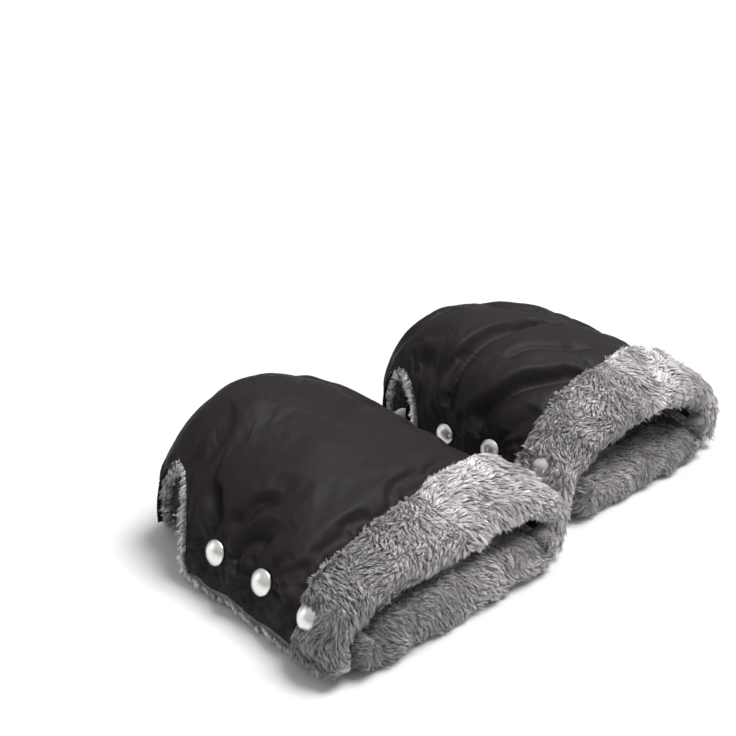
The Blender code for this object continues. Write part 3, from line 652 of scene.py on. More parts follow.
# %% [markdown]
# ## The top shell: puckers, folds and cloth
#
# Three things shape the black cloth. The snaps pinch it flat and gather it round themselves. The
# mouth's pull lays folds over the top. The wadding blows up what is left. The first two are
# written as formulas; the third is a short cloth simulation, with a little spare cloth, held at
# the rims and the snaps.


# %% Seats, puckers and folds
def cut_corners(line):
    """Chaikin's rule: each corner gives way to points at 1/4 and 3/4 of its sides; the ends stay."""
    a, b = line[:-1], line[1:]
    cut = np.stack([0.75 * a + 0.25 * b, 0.25 * a + 0.75 * b], 1).reshape(-1, 2)
    return np.concatenate([line[:1], cut, line[-1:]])


PUCKER_LENGTH = 12.0


def seated(points, snaps, reach, puckers=0.0, seed=1):
    """Points near a snap are brought onto its plane, fading with distance, with puckers round it.

    Puckers follow |sin(k angle)|, which has round lobes and sharp valleys.
    """
    for number, (where, axis) in enumerate(snaps):
        u, v = across(axis)
        off = points - where
        height = off @ axis - PANEL / 2
        flat = np.linalg.norm(off - (off @ axis)[..., None] * axis, axis=-1)
        near = (1 - smooth(flat, CAP_RADIUS + 0.8, reach)) * (np.abs(height) < 30)
        angle = np.arctan2(off @ v, off @ u)
        turned = angle + 0.35 * np.sin(2 * angle + number + seed) + 0.2 * np.sin(3 * angle + 2 * number)
        ridge = 2.2 * (np.abs(np.sin(4.5 * turned + number)) ** 0.8 - 0.6) + 0.35 * np.cos(13 * turned)
        fading = np.exp(-np.clip(flat - PUCKER_LENGTH, 0, None) / PUCKER_LENGTH)
        band = smooth(flat, CAP_RADIUS - 0.5, CAP_RADIUS + 4) * fading
        band = band * (1 - smooth(np.abs(height), 8, 22))
        points = points + axis * (-height * near + puckers * ridge * band)[..., None]
    return points


FOLDS = {
    # depth, width, then points: share of the way over from the left rim, place along the muff
    "left": (
        (7.8, 6.4, (0.09, 12), (0.12, 13), (0.14, 19), (0.17, 26), (0.20, 31), (0.23, 36)),
        (5.7, 4.8, (0.15, 8), (0.17, 0), (0.19, -3), (0.22, -2), (0.245, -8), (0.26, -16)),
        (7.0, 6.4, (0.06, -14), (0.10, -8), (0.115, -7), (0.15, -11), (0.18, -20), (0.20, -30)),
        (4.9, 5.6, (0.10, -33), (0.12, -30), (0.15, -25), (0.18, -23), (0.21, -27)),
        (4.2, 9.0, (0.05, -66), (0.12, -62), (0.23, -60), (0.42, -56), (0.6, -48), (0.8, -40)),
        (2.1, 4.0, (0.02, -38), (0.05, -44), (0.08, -50), (0.11, -54)),
        (1.8, 12.6, (0.36, 60), (0.45, 40), (0.5, 10), (0.48, -20)),
        (2.6, 7.2, (0.60, 82), (0.66, 64), (0.70, 40), (0.71, 16), (0.74, -6)),
        (3.4, 6.4, (0.91, 12), (0.86, 18), (0.81, 26), (0.78, 34)),
        (3.1, 5.6, (0.91, -32), (0.87, -24), (0.82, -20), (0.77, -26)),
    ),
    "right": (
        (11.1, 7.2, (0.09, 13), (0.12, 14), (0.15, 18), (0.18, 18), (0.22, 20),
         (0.29, 19), (0.40, 20), (0.49, 17), (0.57, 8), (0.63, -8)),
        (11.1, 7.2, (0.09, -31), (0.12, -23), (0.15, -19), (0.19, -23),
         (0.24, -30), (0.32, -42), (0.41, -54), (0.5, -60)),
        (6.6, 6.4, (0.05, 56), (0.12, 44), (0.19, 35), (0.26, 27), (0.33, 20)),
        (7.2, 6.4, (0.52, 74), (0.57, 52), (0.62, 36), (0.655, 16), (0.665, -6), (0.68, -30)),
        (3.3, 5.6, (0.05, 80), (0.12, 84), (0.2, 78), (0.3, 74), (0.4, 66)),
        (4.8, 5.6, (0.30, -8), (0.40, -16), (0.50, -30), (0.58, -44)),
        (3.0, 4.8, (0.05, -8), (0.08, -4), (0.12, -4), (0.16, -8)),
        (4.2, 6.4, (0.91, 12), (0.87, 20), (0.82, 24), (0.77, 26)),
        (4.2, 6.4, (0.91, -32), (0.86, -24), (0.81, -22), (0.76, -30)),
    ),
}  # fmt: skip
SPAN = 300.0  # a usual distance over the arch, from rim to rim
LINE_POINTS = 90


def creased(grid, side, wide_part, sharp_part):
    """Folds pressed in along drawn lines.

    depth = deep (wide_part e^-(d/w)^2 + sharp_part e^-(d/(0.25 w))), with d the distance to the line
    laid out flat. It fades at the line's ends, and a low ridge stands along one of its sides.
    """
    over = np.broadcast_to(np.linspace(0, SPAN, grid.shape[1]), grid.shape[:2])
    flat = np.stack([over, grid[..., 1]], -1)
    flat = flat + 1.6 * np.stack([waves(grid, 55, 12), waves(grid, 48, 13)], -1)
    soft, sharp = np.zeros(grid.shape[:2]), np.zeros(grid.shape[:2])
    for deep, wide, *places in FOLDS[side]:
        line = np.array(places, float) * (SPAN, 1)
        for _ in range(3):
            line = cut_corners(line)
        line = spaced(line, np.linspace(0, 1, LINE_POINTS))
        off = flat[:, :, None] - line
        far = np.linalg.norm(off, axis=3)
        at = far.argmin(2)
        tangent = np.gradient(line, axis=0)[at]
        off = np.take_along_axis(off, at[..., None, None], 2)[:, :, 0]
        far = far.min(2)
        sign = np.sign(tangent[..., 0] * off[..., 1] - tangent[..., 1] * off[..., 0])
        fade = smooth(at, 0, 14) * smooth(LINE_POINTS - 1 - at, 0, 26)
        ridge = 0.4 * (sign > 0) * np.exp(-(((far - 1.3 * wide) / (0.7 * wide)) ** 2))
        soft += deep * fade * wide_part * (np.exp(-((far / wide) ** 2)) - ridge)
        sharp += deep * fade * sharp_part * np.exp(-far / (0.25 * wide))
    for _ in range(2):
        soft = even(soft[..., None])[..., 0]
    ends = 1 - smooth(grid[..., 1], FOLD_END - 16, FOLD_END - 3)
    return grid - outward(grid) * ((soft + sharp) * ends)[..., None]


def scalloped(grid):
    """The rim drawn up a little between the snaps, fading up the side."""
    rise = 1.3 + 1.3 * np.cos(2 * math.pi * (grid[..., 1] - 34) / 45)
    rise = rise * smooth(grid[..., 1], -62, -40) * (1 - smooth(grid[..., 1], 22, 34))
    grid = grid.copy()
    grid[..., 2] += rise * (1 - smooth(grid[..., 2], RIM_HEIGHT, RIM_HEIGHT + 20))
    return grid


def lobed(grid, side):
    """Soft bulges of wadding between the snaps and along the rim."""
    up, _ = from_rims(grid)
    n, out = outward(grid), 0
    for place, high, wide in ((-56, 1.6, 12), (-11, 2.6, 13), (28, 1.6, 9)):
        along = np.exp(-(((grid[..., 1] - place) / wide) ** 2))
        out = out + high * along * np.exp(-(((up - 17) / 15) ** 2))
    calm = smooth(up, 4, 24) * (1 - smooth(grid[..., 1], FOLD_END - 24, FOLD_END - 3))
    out = out * smooth(up, 0, 6) + 1.1 * waves(grid, 85, 5) * calm + 0.45 * waves(grid, 34, 6) * calm
    cuff_end = PANEL_FRONT + min(CUFF_DEPTH[side])
    return grid + n * (out * smooth(grid[..., 1], cuff_end - 14, cuff_end + 10))[..., None]


# %% Cloth
CLOTH_FRAMES, CLOTH_MOST, CLOTH_EVEN = 18, 5.0, 0.8
EVEN_PASSES, PIN_LEVELS = 60, 5


def even(table):
    """Each value averaged with its four neighbours."""
    wide = np.pad(table, ((1, 1), (1, 1), (0, 0)), mode="edge")
    around = wide[:-2, 1:-1] + wide[2:, 1:-1] + wide[1:-1, :-2] + wide[1:-1, 2:]
    return 0.5 * table + 0.125 * around


def blown(name, grid, held, side, pressure, spare):
    """The grid after a cloth simulation with spare length and pressure from inside.

    Held is 1 where the cloth stays. Most of the even swell is taken out again, because the
    sheet's own form already has it: what stays is move - share * (move averaged over about 20 mm).
    """
    rows, lines = grid.shape[:2]
    mesh = mesh_of(name, grid, cells(rows, lines), side)
    made = bpy.data.objects.new(name, mesh)
    bpy.context.scene.collection.objects.link(made)
    pins = made.vertex_groups.new(name="held")
    level = np.round(held.ravel() * PIN_LEVELS).astype(int)
    for k in range(1, PIN_LEVELS + 1):
        pins.add(np.flatnonzero(level == k).tolist(), k / PIN_LEVELS, "REPLACE")
    cloth = made.modifiers.new("cloth", "CLOTH")
    settings = cloth.settings
    settings.quality, settings.mass = 6, 0.12
    settings.tension_stiffness = settings.compression_stiffness = 14
    settings.shear_stiffness, settings.bending_stiffness = 6, 0.4
    settings.vertex_group_mass, settings.pin_stiffness = pins.name, 1
    settings.use_pressure, settings.uniform_pressure_force = True, pressure
    settings.shrink_min = -spare
    settings.effector_weights.gravity = 0
    cloth.collision_settings.use_collision = False
    cloth.point_cache.frame_start, cloth.point_cache.frame_end = 1, CLOTH_FRAMES
    scene = bpy.context.scene
    for k in range(1, CLOTH_FRAMES + 1):
        scene.frame_set(k)
    shaped = made.evaluated_get(bpy.context.evaluated_depsgraph_get()).to_mesh()
    co = np.empty(rows * lines * 3)
    shaped.vertices.foreach_get("co", co)
    move = co.reshape(grid.shape) / MM - (*MIDDLE[side], 0) - grid
    bpy.data.objects.remove(made)
    scene.frame_set(1)
    swell = move
    for _ in range(EVEN_PASSES):
        swell = even(swell)
    move = move - CLOTH_EVEN * swell
    far = np.linalg.norm(move, axis=2, keepdims=True)
    move *= np.minimum(1, CLOTH_MOST / np.maximum(far, 1e-6)) * (1 - held[..., None])
    print(name, "moved", np.round([far.max(), far.mean()], 2).tolist(), "mm at most and on average")
    return grid + move


# %% Turned-in edges
def edge_frame(grid, n, column):
    """The edge line of a grid, its outward normals, and the way off the edge."""
    inside = grid[:, 1] if column == 0 else grid[:, -2]
    edge = grid[:, column]
    return edge, n[:, column], unit(edge - inside)


def turned_in(outer, inner, n, depth, both=True):
    """A shell's two faces with three columns more at each rim, where it turns in over the wadding.

    It turns in square to the muff's length, as the panel is cut, and the last rows, which run
    together at the fold, do as the row before them.
    """
    faces = []
    if both:
        n = unit(n * (1, 0, 1))
        n[-5:] = n[-6]
    for grid, back in ((outer, 0.0), (inner, SHELL)):
        parts = []
        for column in (0, -1) if both else (-1,):
            edge, up, off = edge_frame(outer, n, column)
            if both:
                off[-5:] = off[-6]
            depths = (0.3 + 0.7 * back, 0.55 * depth, depth)
            lines = [edge - up * d - off * (back + 0.2 * (k == 0)) for k, d in enumerate(depths)]
            if back:
                grid = grid.copy()
                grid[:, column] = edge - up * SHELL - off * SHELL
            parts.append(np.stack(lines[::-1] if column == 0 else lines, 1))
        faces.append(np.concatenate([*parts[:-1], grid, parts[-1]], 1))
    return faces


def drawn_back(grid, by, ends=((0, 1), (-1, -2))):
    """A layer whose edges stop short of the rim by this much."""
    grid = grid.copy()
    for column, inside in ends:
        step = grid[:, inside] - grid[:, column]
        far = np.linalg.norm(step, axis=1, keepdims=True)
        grid[:, column] += step * np.minimum(0.9, by / np.maximum(far, 1e-9))
    return grid


# %% Layers of the top panel
def lowest_near(table, cells_round=2):
    """The least value within a few cells of each cell."""
    for _ in range(cells_round):
        for axis in (0, 1):
            beside = np.minimum(np.roll(table, 1, axis), np.roll(table, -1, axis))
            table = np.minimum(table, beside)
    return table


TOP_ROWS, TOP_HALF = 84, 54
CLOTH_PRESSURE, CLOTH_SPARE = 3.0, 0.035
WADDING_SHORT = 1.3  # how far the wadding's edges stop before the rims


def held_top(grid, side):
    """1 at the rims, under the cuff, at the snaps and at the fold's end."""
    up, _ = from_rims(grid)
    cuff_end = PANEL_FRONT + min(CUFF_DEPTH[side])
    held = np.maximum(1 - smooth(up, 1.5, 7), 1 - smooth(grid[..., 1], PANEL_FRONT + 8, cuff_end - 8))
    held = np.maximum(held, smooth(grid[..., 1], FOLD_END - 6, FOLD_END - 2))
    for where, _ in SNAPS[side][0]:
        far = np.linalg.norm(grid - where, axis=2)
        held = np.maximum(held, 1 - smooth(far, CAP_RADIUS + 2, CAP_RADIUS + 8))
    return held


TOP, TRAY = {}, {}
for side in MIDDLE:
    plain = scalloped(top_sheet(side, 0.0, TOP_ROWS, TOP_HALF))
    shaped = lobed(creased(plain, side, 0.7, 0.0), side)
    shaped = seated(shaped, SNAPS[side][0], 25.0, 1.6, len(side))
    held = held_top(shaped, side)
    shaped = blown(f"{side}_cloth", shaped, held, side, CLOTH_PRESSURE, CLOTH_SPARE)
    shaped[:, :, 1] = np.minimum(shaped[:, :, 1], FOLD_END)
    shaped = finer(shaped)
    shaped = seated(creased(shaped, side, 0.0, 0.3), SNAPS[side][0], 12.5, 0.3, len(side))
    n = outward(shaped)
    fine = 0.1 * waves(shaped, 11, 21, stretch=(1, 1, 2)) + 0.05 * waves(shaped, 5, 22)
    shaped = shaped + n * (fine * smooth(from_rims(shaped)[0], 1, 8))[..., None]
    body = f"{side}_top_panel"
    faces = turned_in(shaped, shaped - n * SHELL, n, WADDING + SHELL)
    piece = slab(f"{side}_black_top", *faces, side, body, "black_polyester", BLACK, f"{side}_top_shell")

    # The layers below follow the folds, each a little less
    fine_plain = finer(plain)
    off = np.einsum("ijk,ijk->ij", shaped - fine_plain, outward(fine_plain))[::2, ::2]
    sunk = np.minimum(0, lowest_near(off))
    insets = (SHELL + CLEARANCE, SHELL + CLEARANCE + WADDING, PANEL - LINING, PANEL)
    below = np.minimum(0, sunk + 2.6)
    drops = (np.minimum(off, sunk) - 0.3, below, below, np.minimum(0, sunk + 5.6))
    layers = [scalloped(top_sheet(side, inset, TOP_ROWS, TOP_HALF)) for inset in insets]
    moved = [layer + outward(layer) * drop[..., None] for layer, drop in zip(layers, drops)]
    faces = [drawn_back(layer, WADDING_SHORT)[::2, ::2] for layer in moved[:2]]
    slab(f"{side}_fibre_top", *faces, side, body, "white_wadding", FIBRE, f"{side}_top_wadding")
    name = f"{side}_plush_top"
    piece = slab(name, *moved[2:], side, body, "grey_plush", SKIN, f"{side}_top_lining")
    TOP[side] = (plain, shaped, moved[3])
    print(side, "top panel", shaped.shape, "deepest fold", round(float(sunk.min()), 1))

# %% [markdown]
# ## The bottom panel
#
# The bottom panel is a shallow tray: its walls stand inside the top panel's sides, a few
# millimetres in, and carry the studs. In section it is a line of a few points, rounded by cutting
# its corners three times.


# %% The tray's sheet
def tray_half(y, side, s, line):
    """Half of the tray's section from its wall's top to the middle of its floor."""
    inset = PANEL / 2
    up = eased(y, SNAP_Y, SNAP_UP[side])
    drop = float(eased(y, (SNAP_Y[2] + 10, OPENING_Y - OPENING_HALF * 0.8), (0.0, 1.0)))
    lengths = np.array([up + 10, up - 10]) * (1 - drop) + np.array([LOW_WALL * 2, LOW_WALL]) * drop
    run = run_along(line)
    wall = picked(lengths, run, line)
    way = unit(picked(lengths + CLEARANCE, run, line) - wall)
    wall = wall + np.stack([way[:, 1], -way[:, 0]], 1) * (-s * STEP) + (0, RIM_HEIGHT)
    outline = half_width(y, inset + STEP)
    wall[:, 0] = s * np.minimum(s * wall[:, 0], outline)
    foot, bend = min(s * wall[1, 0], outline), wall[1, 1] - inset
    corner = [(s * (foot - a * TRAY_CORNER), inset + b * bend) for a, b in TRAY_BEND]
    line = np.concatenate([wall, corner, [[0.0, inset]]])
    for _ in range(3):
        line = cut_corners(line)
    return line


def tray_sheet(side, rows, half):
    """Grid of the tray's middle surface from its left wall's top to its right one, front to back."""
    fine = PANEL_FRONT + (TRAY_END - PANEL_FRONT) * np.linspace(0, 1, rows)
    shares, grid = np.linspace(0, 1, half), []
    for y in fine:
        halves, _ = arch_halves(y, side, PANEL / 2)
        sections = (tray_half(y, side, s, line) for s, line in zip((-1, 1), halves))
        left, right = (spaced(section, shares) for section in sections)
        line = np.concatenate([left, right[-2::-1]])
        grid.append(np.stack([line[:, 0], np.full(len(line), y), line[:, 1]], 1))
    return np.array(grid)


def crossed(*grids):
    """The same grids with rows and lines swapped."""
    return [np.swapaxes(grid, 0, 1) for grid in grids]


def sunk_seats(snaps, depth):
    """The snaps' places this much deeper."""
    return [(where - axis * depth, axis) for where, axis in snaps]


TRAY_ROWS, TRAY_HALF = 71, 54
TRAY_DEPTHS = (0, SHELL, SHELL + 0.3, SHELL + 0.3 + WADDING, PANEL - LINING, PANEL)
for side in MIDDLE:
    middle = tray_sheet(side, TRAY_ROWS, TRAY_HALF)
    n, studs = outward(middle, flip=True), SNAPS[side][1]
    puff = n * (0.5 * waves(middle, 40, 8) * smooth(middle[..., 2], 9, 16))[..., None]
    grids = [middle + n * (PANEL / 2 - depth) for depth in TRAY_DEPTHS]
    grids[0] = seated(grids[0] + puff, studs, 14.0, 0.25)
    grids[1] = seated(grids[1] + puff, sunk_seats(studs, SHELL), 14.0, 0.25)
    # The wadding keeps well under the shell, most of all where a stud presses the shell in
    grids[2] = seated(grids[2] - n * 0.8, sunk_seats(studs, SHELL + 1.8), 17.0)
    for grid in grids:
        grid[..., 2] = np.maximum(grid[..., 2], 0.05)
    grids, turned = [grid[:, ::-1] for grid in grids], n[:, ::-1]
    body = f"{side}_bottom_panel"

    # The shell turns in at its rear edge first, then at its two rims
    faces = crossed(*turned_in(*crossed(grids[0], grids[1], turned), WADDING + SHELL, both=False))
    turned = np.concatenate([turned, np.repeat(turned[-1:], 3, 0)])
    faces = turned_in(*faces, turned, WADDING + SHELL)
    name = f"{side}_black_bottom"
    piece = slab(name, *faces, side, body, "black_polyester", BLACK, f"{side}_bottom_shell")
    layers = crossed(*(drawn_back(layer, WADDING_SHORT, ((-1, -2),)) for layer in crossed(*grids[2:4])))
    faces = [drawn_back(layer, WADDING_SHORT)[::2, ::2] for layer in layers]
    slab(f"{side}_fibre_bottom", *faces, side, body, "white_wadding", FIBRE, f"{side}_bottom_wadding")
    name = f"{side}_plush_bottom"
    piece = slab(name, *grids[4:], side, body, "grey_plush", SKIN, f"{side}_bottom_lining")
    TRAY[side] = (middle, n, grids[5][:, ::-1])
print("trays", TRAY["left"][0].shape)

# %% [markdown]
# ## Pile
#
# Long plush shows as small pointed locks: strands that lean one way and close up towards their
# tips. Each strand here is a bent three-sided spike. Its tip is pulled towards the tip of the
# lock that it is nearest to. Thousands of them are worked out at once as tables.


# %% Strands
LOCK_REACH = 2.6  # a lock's length over its width
LOW_TIP, LOW_POINT = 0.3, 0.1  # least heights above the floor
BLOCK = 1500  # strands whose locks are looked up at once


def wrapped(table):
    """A closed ring's table with its first column once more at the end."""
    return np.concatenate([table, table[:, :1]], 1)


def nearest_lock(points, ways, centres, reach):
    """The number of each point's nearest centre, and how much farther off the second nearest one is.

    A distance squared is |d|^2 - (1 - 1/reach^2) (d . way)^2, so a lock is reach times as long as wide.
    """
    found, apart = [], []
    for block in np.array_split(np.arange(len(points)), max(1, len(points) // BLOCK)):
        p, w = points[block], ways[block]
        along = w @ centres.T - np.einsum("ij,ij->i", p, w)[:, None]
        far = np.sum(centres**2, 1) - 2 * p @ centres.T + np.sum(p**2, 1)[:, None]
        far = far - (1 - 1 / reach**2) * along**2
        first = far.argmin(1)
        found.append(first)
        two = np.partition(far, 1, axis=1)[:, :2]
        apart.append(np.sqrt(np.maximum(two[:, 1], 0)) - np.sqrt(np.maximum(two[:, 0], 0)))
    return np.concatenate(found), np.concatenate(apart)


def strand_roots(grid, out, flow, weight, count, rng):
    """Roots spread evenly by area times weight over a grid, with the surface's directions there."""
    corners = [(0, 0), (0, 1), (1, 0), (1, 1)]

    def corner(table, i, j):
        return table[i : table.shape[0] - 1 + i, j : table.shape[1] - 1 + j]

    a, b, c, d = (corner(grid, *k) for k in corners)
    halves = np.cross(b - a, c - a), np.cross(b - d, c - d)
    area = np.linalg.norm(halves[0], axis=2) + np.linalg.norm(halves[1], axis=2)
    total = np.cumsum((area * corner(weight, 0, 0)).ravel())
    at = (np.arange(count) + rng.random(count)) / count * total[-1] * (1 - 1e-9)
    i, j = np.divmod(np.searchsorted(total, at), grid.shape[1] - 1)
    s, t = rng.random(count), rng.random(count)
    shares = ((1 - s) * (1 - t), (1 - s) * t, s * (1 - t), s * t)

    def blend(table):
        return sum(share[:, None] * table[i + p, j + q] for share, (p, q) in zip(shares, corners))

    return blend(grid), unit(blend(out)), unit(blend(flow))


SPIKE_FACES = ((0, 1, 3), (0, 3, 2), (0, 2, 1), (4, 3, 1), (4, 2, 3), (4, 1, 2))
SPIKE_TIP = (0.0, 0.5, 0.5, 0.5, 1.0)  # how far along the strand each of its five points is
SPIKE_UV = ((0.5, 0.1), (0.2, 0.45), (0.5, 0.45), (0.8, 0.45), (0.5, 0.9))
RING_DEGREES = (90, 210, 330)


def strand_mesh(name, points, shade, side):
    """Spikes of five points each, with their tip share, their shade and a cell of the UV square."""
    count = len(points)
    faces = (np.array(SPIKE_FACES)[None] + 5 * np.arange(count)[:, None, None]).reshape(-1, 3)
    mesh = mesh_of(name, points, faces, side)
    for key, values in (("tip", np.tile(SPIKE_TIP, count)), ("shade", np.repeat(shade, 5))):
        mesh.attributes.new(key, "FLOAT", "POINT").data.foreach_set("value", values.astype(np.float32))
    across_count = math.ceil(math.sqrt(count))
    cell = np.stack(np.divmod(np.arange(count), across_count)[::-1], 1)[:, None]
    uv = ((cell + np.array(SPIKE_UV)[None]) / across_count).reshape(-1, 2)[faces.ravel()]
    mesh.uv_layers.new(name="OFBake").uv.foreach_set("vector", uv.astype(np.float32).ravel())
    return mesh


def pile(
    name, surface, count, side, body, material, seed, part=0, length=6.4, width=0.175, lift=24.0,
    lock=1.3, swirl=42.0, sag=0.15, parting_and_shade=0.6, tone_and_painted_shade=(1.0, 1.0),
):  # fmt: skip
    """Strands as bent spikes: tip = root + length (cos(lift) flow + sin(lift) out).

    The flow is turned by smooth noise, up to about swirl degrees. Parting opens gaps between locks
    of about lock mm and darkens the strands at a lock's edge as painted shade. The tone pair multiplies
    the shade at the muff's left and right: painted shade on the cuffs and rolls, a plain darker grey on the
    linings.
    """
    grid, out, flow, weight = surface
    rng = np.random.default_rng(seed + 1000 * part)
    root, n, way = strand_roots(grid, out, flow, weight, count, rng)
    way = unit(way - n * np.einsum("ij,ij->i", way, n)[:, None])
    side_way = np.cross(n, way)
    diagonals = grid[1:, 1:] - grid[:-1, :-1], grid[1:, :-1] - grid[:-1, 1:]
    area = np.linalg.norm(np.cross(*diagonals), axis=2) / 2
    area = float((area * np.minimum(weight[1:, 1:], 1)).sum())
    turn = np.radians(swirl) * (waves(root, 46, seed) + 0.6 * waves(root, 19, seed + 1))
    way = np.cos(turn)[:, None] * way + np.sin(turn)[:, None] * side_way
    side_way = np.cross(n, way)
    locks = max(4, int(area / (lock**2 * LOCK_REACH)))
    mine, edge = nearest_lock(root, way, root[rng.choice(count, locks, replace=False)], LOCK_REACH)
    gap = 1 - smooth(edge, 0.0, 0.55 * lock)

    def each_lock():
        return rng.normal(size=locks)[mine]

    # How each strand leans, rises and ends
    turn = np.radians(12) * each_lock() + np.radians(6) * rng.normal(size=count)
    rise = 1 + 0.35 * waves(root, 30, seed + 2) + 0.3 * each_lock() + 0.15 * rng.normal(size=count)
    rise = np.clip(np.radians(lift) * rise, math.radians(6), math.radians(75))[:, None]
    far = 1 + 0.2 * waves(root, 26, seed + 3) + 0.15 * each_lock() + 0.13 * rng.normal(size=count)
    far = length * far * (1 - parting_and_shade * 0.45 * gap)
    far = np.clip(far, 0.4 * length, 1.5 * length)[:, None]
    lean = np.cos(turn)[:, None] * way + np.sin(turn)[:, None] * side_way
    tip = root + far * (np.cos(rise) * lean + np.sin(rise) * n)

    # Tips close up towards the middle of their lock's tips, then sag
    members = np.maximum(np.bincount(mine, minlength=locks), 1)[:, None]
    middle = np.stack([np.bincount(mine, column, locks) for column in tip.T], 1) / members
    aside = middle[mine] - tip
    aside = aside - 0.8 * np.einsum("ij,ij->i", aside, lean)[:, None] * lean
    tip = tip + (0.3 + 0.45 * rng.random(count))[:, None] * aside
    tip[:, 2] = np.maximum(tip[:, 2] - sag * far[:, 0] * 0.5, LOW_TIP)

    # A strand starts under the skin, stands up and bends over
    steep = np.minimum(rise * 1.7, 1.45)
    start = root - n * 0.5
    knee = root + 0.5 * far * (np.sin(steep) * n + np.cos(steep) * lean)
    bend = 0.22 * start + 0.5 * knee + 0.28 * tip
    bend[:, 2] = np.maximum(bend[:, 2], LOW_TIP)
    thick = (width * (0.7 + 0.6 * rng.random(count)))[:, None]
    toward_tip = unit(tip - start)
    s = unit(np.cross(toward_tip, n))
    b = np.cross(toward_tip, s)
    ring = [bend + thick * (math.cos(a) * s + 0.6 * math.sin(a) * b) for a in np.radians(RING_DEGREES)]
    points = np.stack([start, *ring, tip], 1)
    points[..., 2] = np.maximum(points[..., 2], LOW_POINT)

    # Painted shade: strands at a lock's edge are darker, standing in for the shadow in the partings; the
    # rest is random tone
    shade = (1 + 0.13 * each_lock() + 0.06 * rng.normal(size=count)) * (1 - 0.5 * parting_and_shade * gap)
    # Painted shade across the muff from left to right on the cuffs and rolls; a plain grey tone on the
    # linings
    across_tone_and_shade = tone_and_painted_shade[0] + (tone_and_painted_shade[1] - tone_and_painted_shade[0]) * smooth(root[:, 0], -115, 20)
    shade = np.clip(shade, 0.35, 1.35) * across_tone_and_shade
    placed(name, strand_mesh(name, points, shade, side), body, "grey_plush", material)
    print(name, count, "strands,", locks, "locks,", round(area), "mm2")


# %% [markdown]
# ## The turned-back cuff
#
# The cuff is a closed band: it lies on the shell, is thickest near the mouth and rounds over the
# panel's front edge. One outline is carried along the arch. At each place it is drawn in
# distances along the cloth and above it, so it follows the panel wherever that bends.


# %% Cuff bands
def closed_curve(points, count):
    """Smooth closed lines through rows of points (Catmull-Rom), each sampled evenly.

    Between two points it is (2p + (a - b) t + (2b - 5p + 4a - e) t^2 + (3p - b - 3a + e) t^3) / 2.
    """
    b, a, e = (np.roll(points, s, axis=-2) for s in (1, -1, -2))
    square, cube = 2 * b - 5 * points + 4 * a - e, 3 * points - b - 3 * a + e
    steps = np.linspace(0, 1, 6, endpoint=False)
    made = [0.5 * (2 * points + (a - b) * t + square * t**2 + cube * t**3) for t in steps]
    lines = np.stack(made, -2).reshape(*points.shape[:-2], -1, 3)
    shares = np.linspace(0, 1, count, endpoint=False)
    return np.array([spaced(np.concatenate([line, line[:1]]), shares) for line in lines])


def on_sheet(grid, n, y, high):
    """Points of a sheet's every line at places y along the muff, moved out by high.

    Before the front edge they go straight on.
    """
    rows = grid[:, grid.shape[1] // 2, 1]
    ahead = np.minimum(0, y - rows[0])
    y = np.maximum(y, rows[0])
    at = np.clip(np.searchsorted(rows, y) - 1, 0, len(rows) - 2)
    share = ((y - rows[at]) / (rows[at + 1] - rows[at]))[..., None]
    line = np.broadcast_to(np.arange(grid.shape[1])[:, None], y.shape)
    place = grid[at, line] * (1 - share) + grid[at + 1, line] * share
    way = unit(n[at, line] * (1 - share) + n[at + 1, line] * share)
    return place + way * high[..., None] + ahead[..., None] * np.array([0, 1, 0])


CUFF_OUTLINE = (
    # share of the depth (1 at the cuff's back edge, 0 at the panel's front), share of the nose ahead
    # of the panel, and height: in leaves above the shell, in panels below it
    (1.0, 0, 0.05), (0.985, 0, 0.5), (0.94, 0, 0.85), (0.84, 0, 1.0), (0.6, 0, 1.04),
    (0.35, 0, 1.03), (0.12, 0, 1.02), (0, 0.15, 1.0), (0, 0.62, 0.78), (0, 0.9, 0.35),
    (0, 1.0, -0.12), (0, 0.98, -0.5), (0, 0.8, -0.82), (0, 0.45, -0.94), (0, 0.12, -0.9),
    (0, 0.1, -0.5), (0, 0.1, 0.02), (0.2, 0, 0.05), (0.5, 0, 0.05), (0.8, 0, 0.05),
)  # fmt: skip
CUFF_SAMPLES, CUFF_UNDER = 72, 0.635  # from this share of a ring on, it lies against the panel
CUFF_SHORT = {"left": 8.0, "right": 4.0}  # the pile lies this far over the band's back edge
CUFF_FULL = {"left": 0.0, "right": 0.7}  # more leaf towards the right rim


def cuff_rings(side):
    """Rings (lines, samples, 3) of the cuff from the left rim to the right one."""
    grid = TOP[side][0][:-1]
    n = outward(grid)
    share = np.linspace(0, 1, grid.shape[1])[:, None]
    least, most = CUFF_DEPTH[side]
    depth = least + (most - least) * share - CUFF_NOSE
    depth = depth - CUFF_SHORT[side] * (1 - 0.6 * smooth(share, 0.3, 0.8))
    up, _ = from_rims(grid)
    leaf = CUFF_LEAF * eased(up[0], (0, 11, 30), (0.4, 0.8, 1.0))[:, None]
    leaf = leaf * (1 + CUFF_FULL[side] * smooth(share, 0.62, 0.9))
    outline = np.array(CUFF_OUTLINE)
    y = PANEL_FRONT + depth * outline[:, 0] - CUFF_NOSE * outline[:, 1]
    high = np.where(outline[:, 2] >= 0, leaf * outline[:, 2], PANEL * outline[:, 2])
    return closed_curve(on_sheet(grid, n, y, high), CUFF_SAMPLES)


def lumpy(rings, seed, size, amount):
    """Rings with soft lumps of two sizes."""
    high = amount * waves(rings, size, seed) + 0.45 * amount * waves(rings, size * 0.45, seed + 1)
    return rings + ring_out(rings) * high[..., None]


def ring_out(rings):
    """Outward unit normals of closed rings: the cross product of the way along and the way round."""
    round_way = np.roll(rings, -1, axis=1) - np.roll(rings, 1, axis=1)
    n = unit(np.cross(round_way, np.gradient(rings, axis=0)))
    away = np.einsum("ijk,ijk->ij", n, rings - rings.mean(1, keepdims=True)).mean()
    return n * (1 if away > 0 else -1)


def way_round(rings):
    """The unit way round each closed ring."""
    closed = np.concatenate([rings[:, -1:], rings, rings[:, :1]], 1)
    return unit(np.gradient(closed, axis=1)[:, 1:-1])


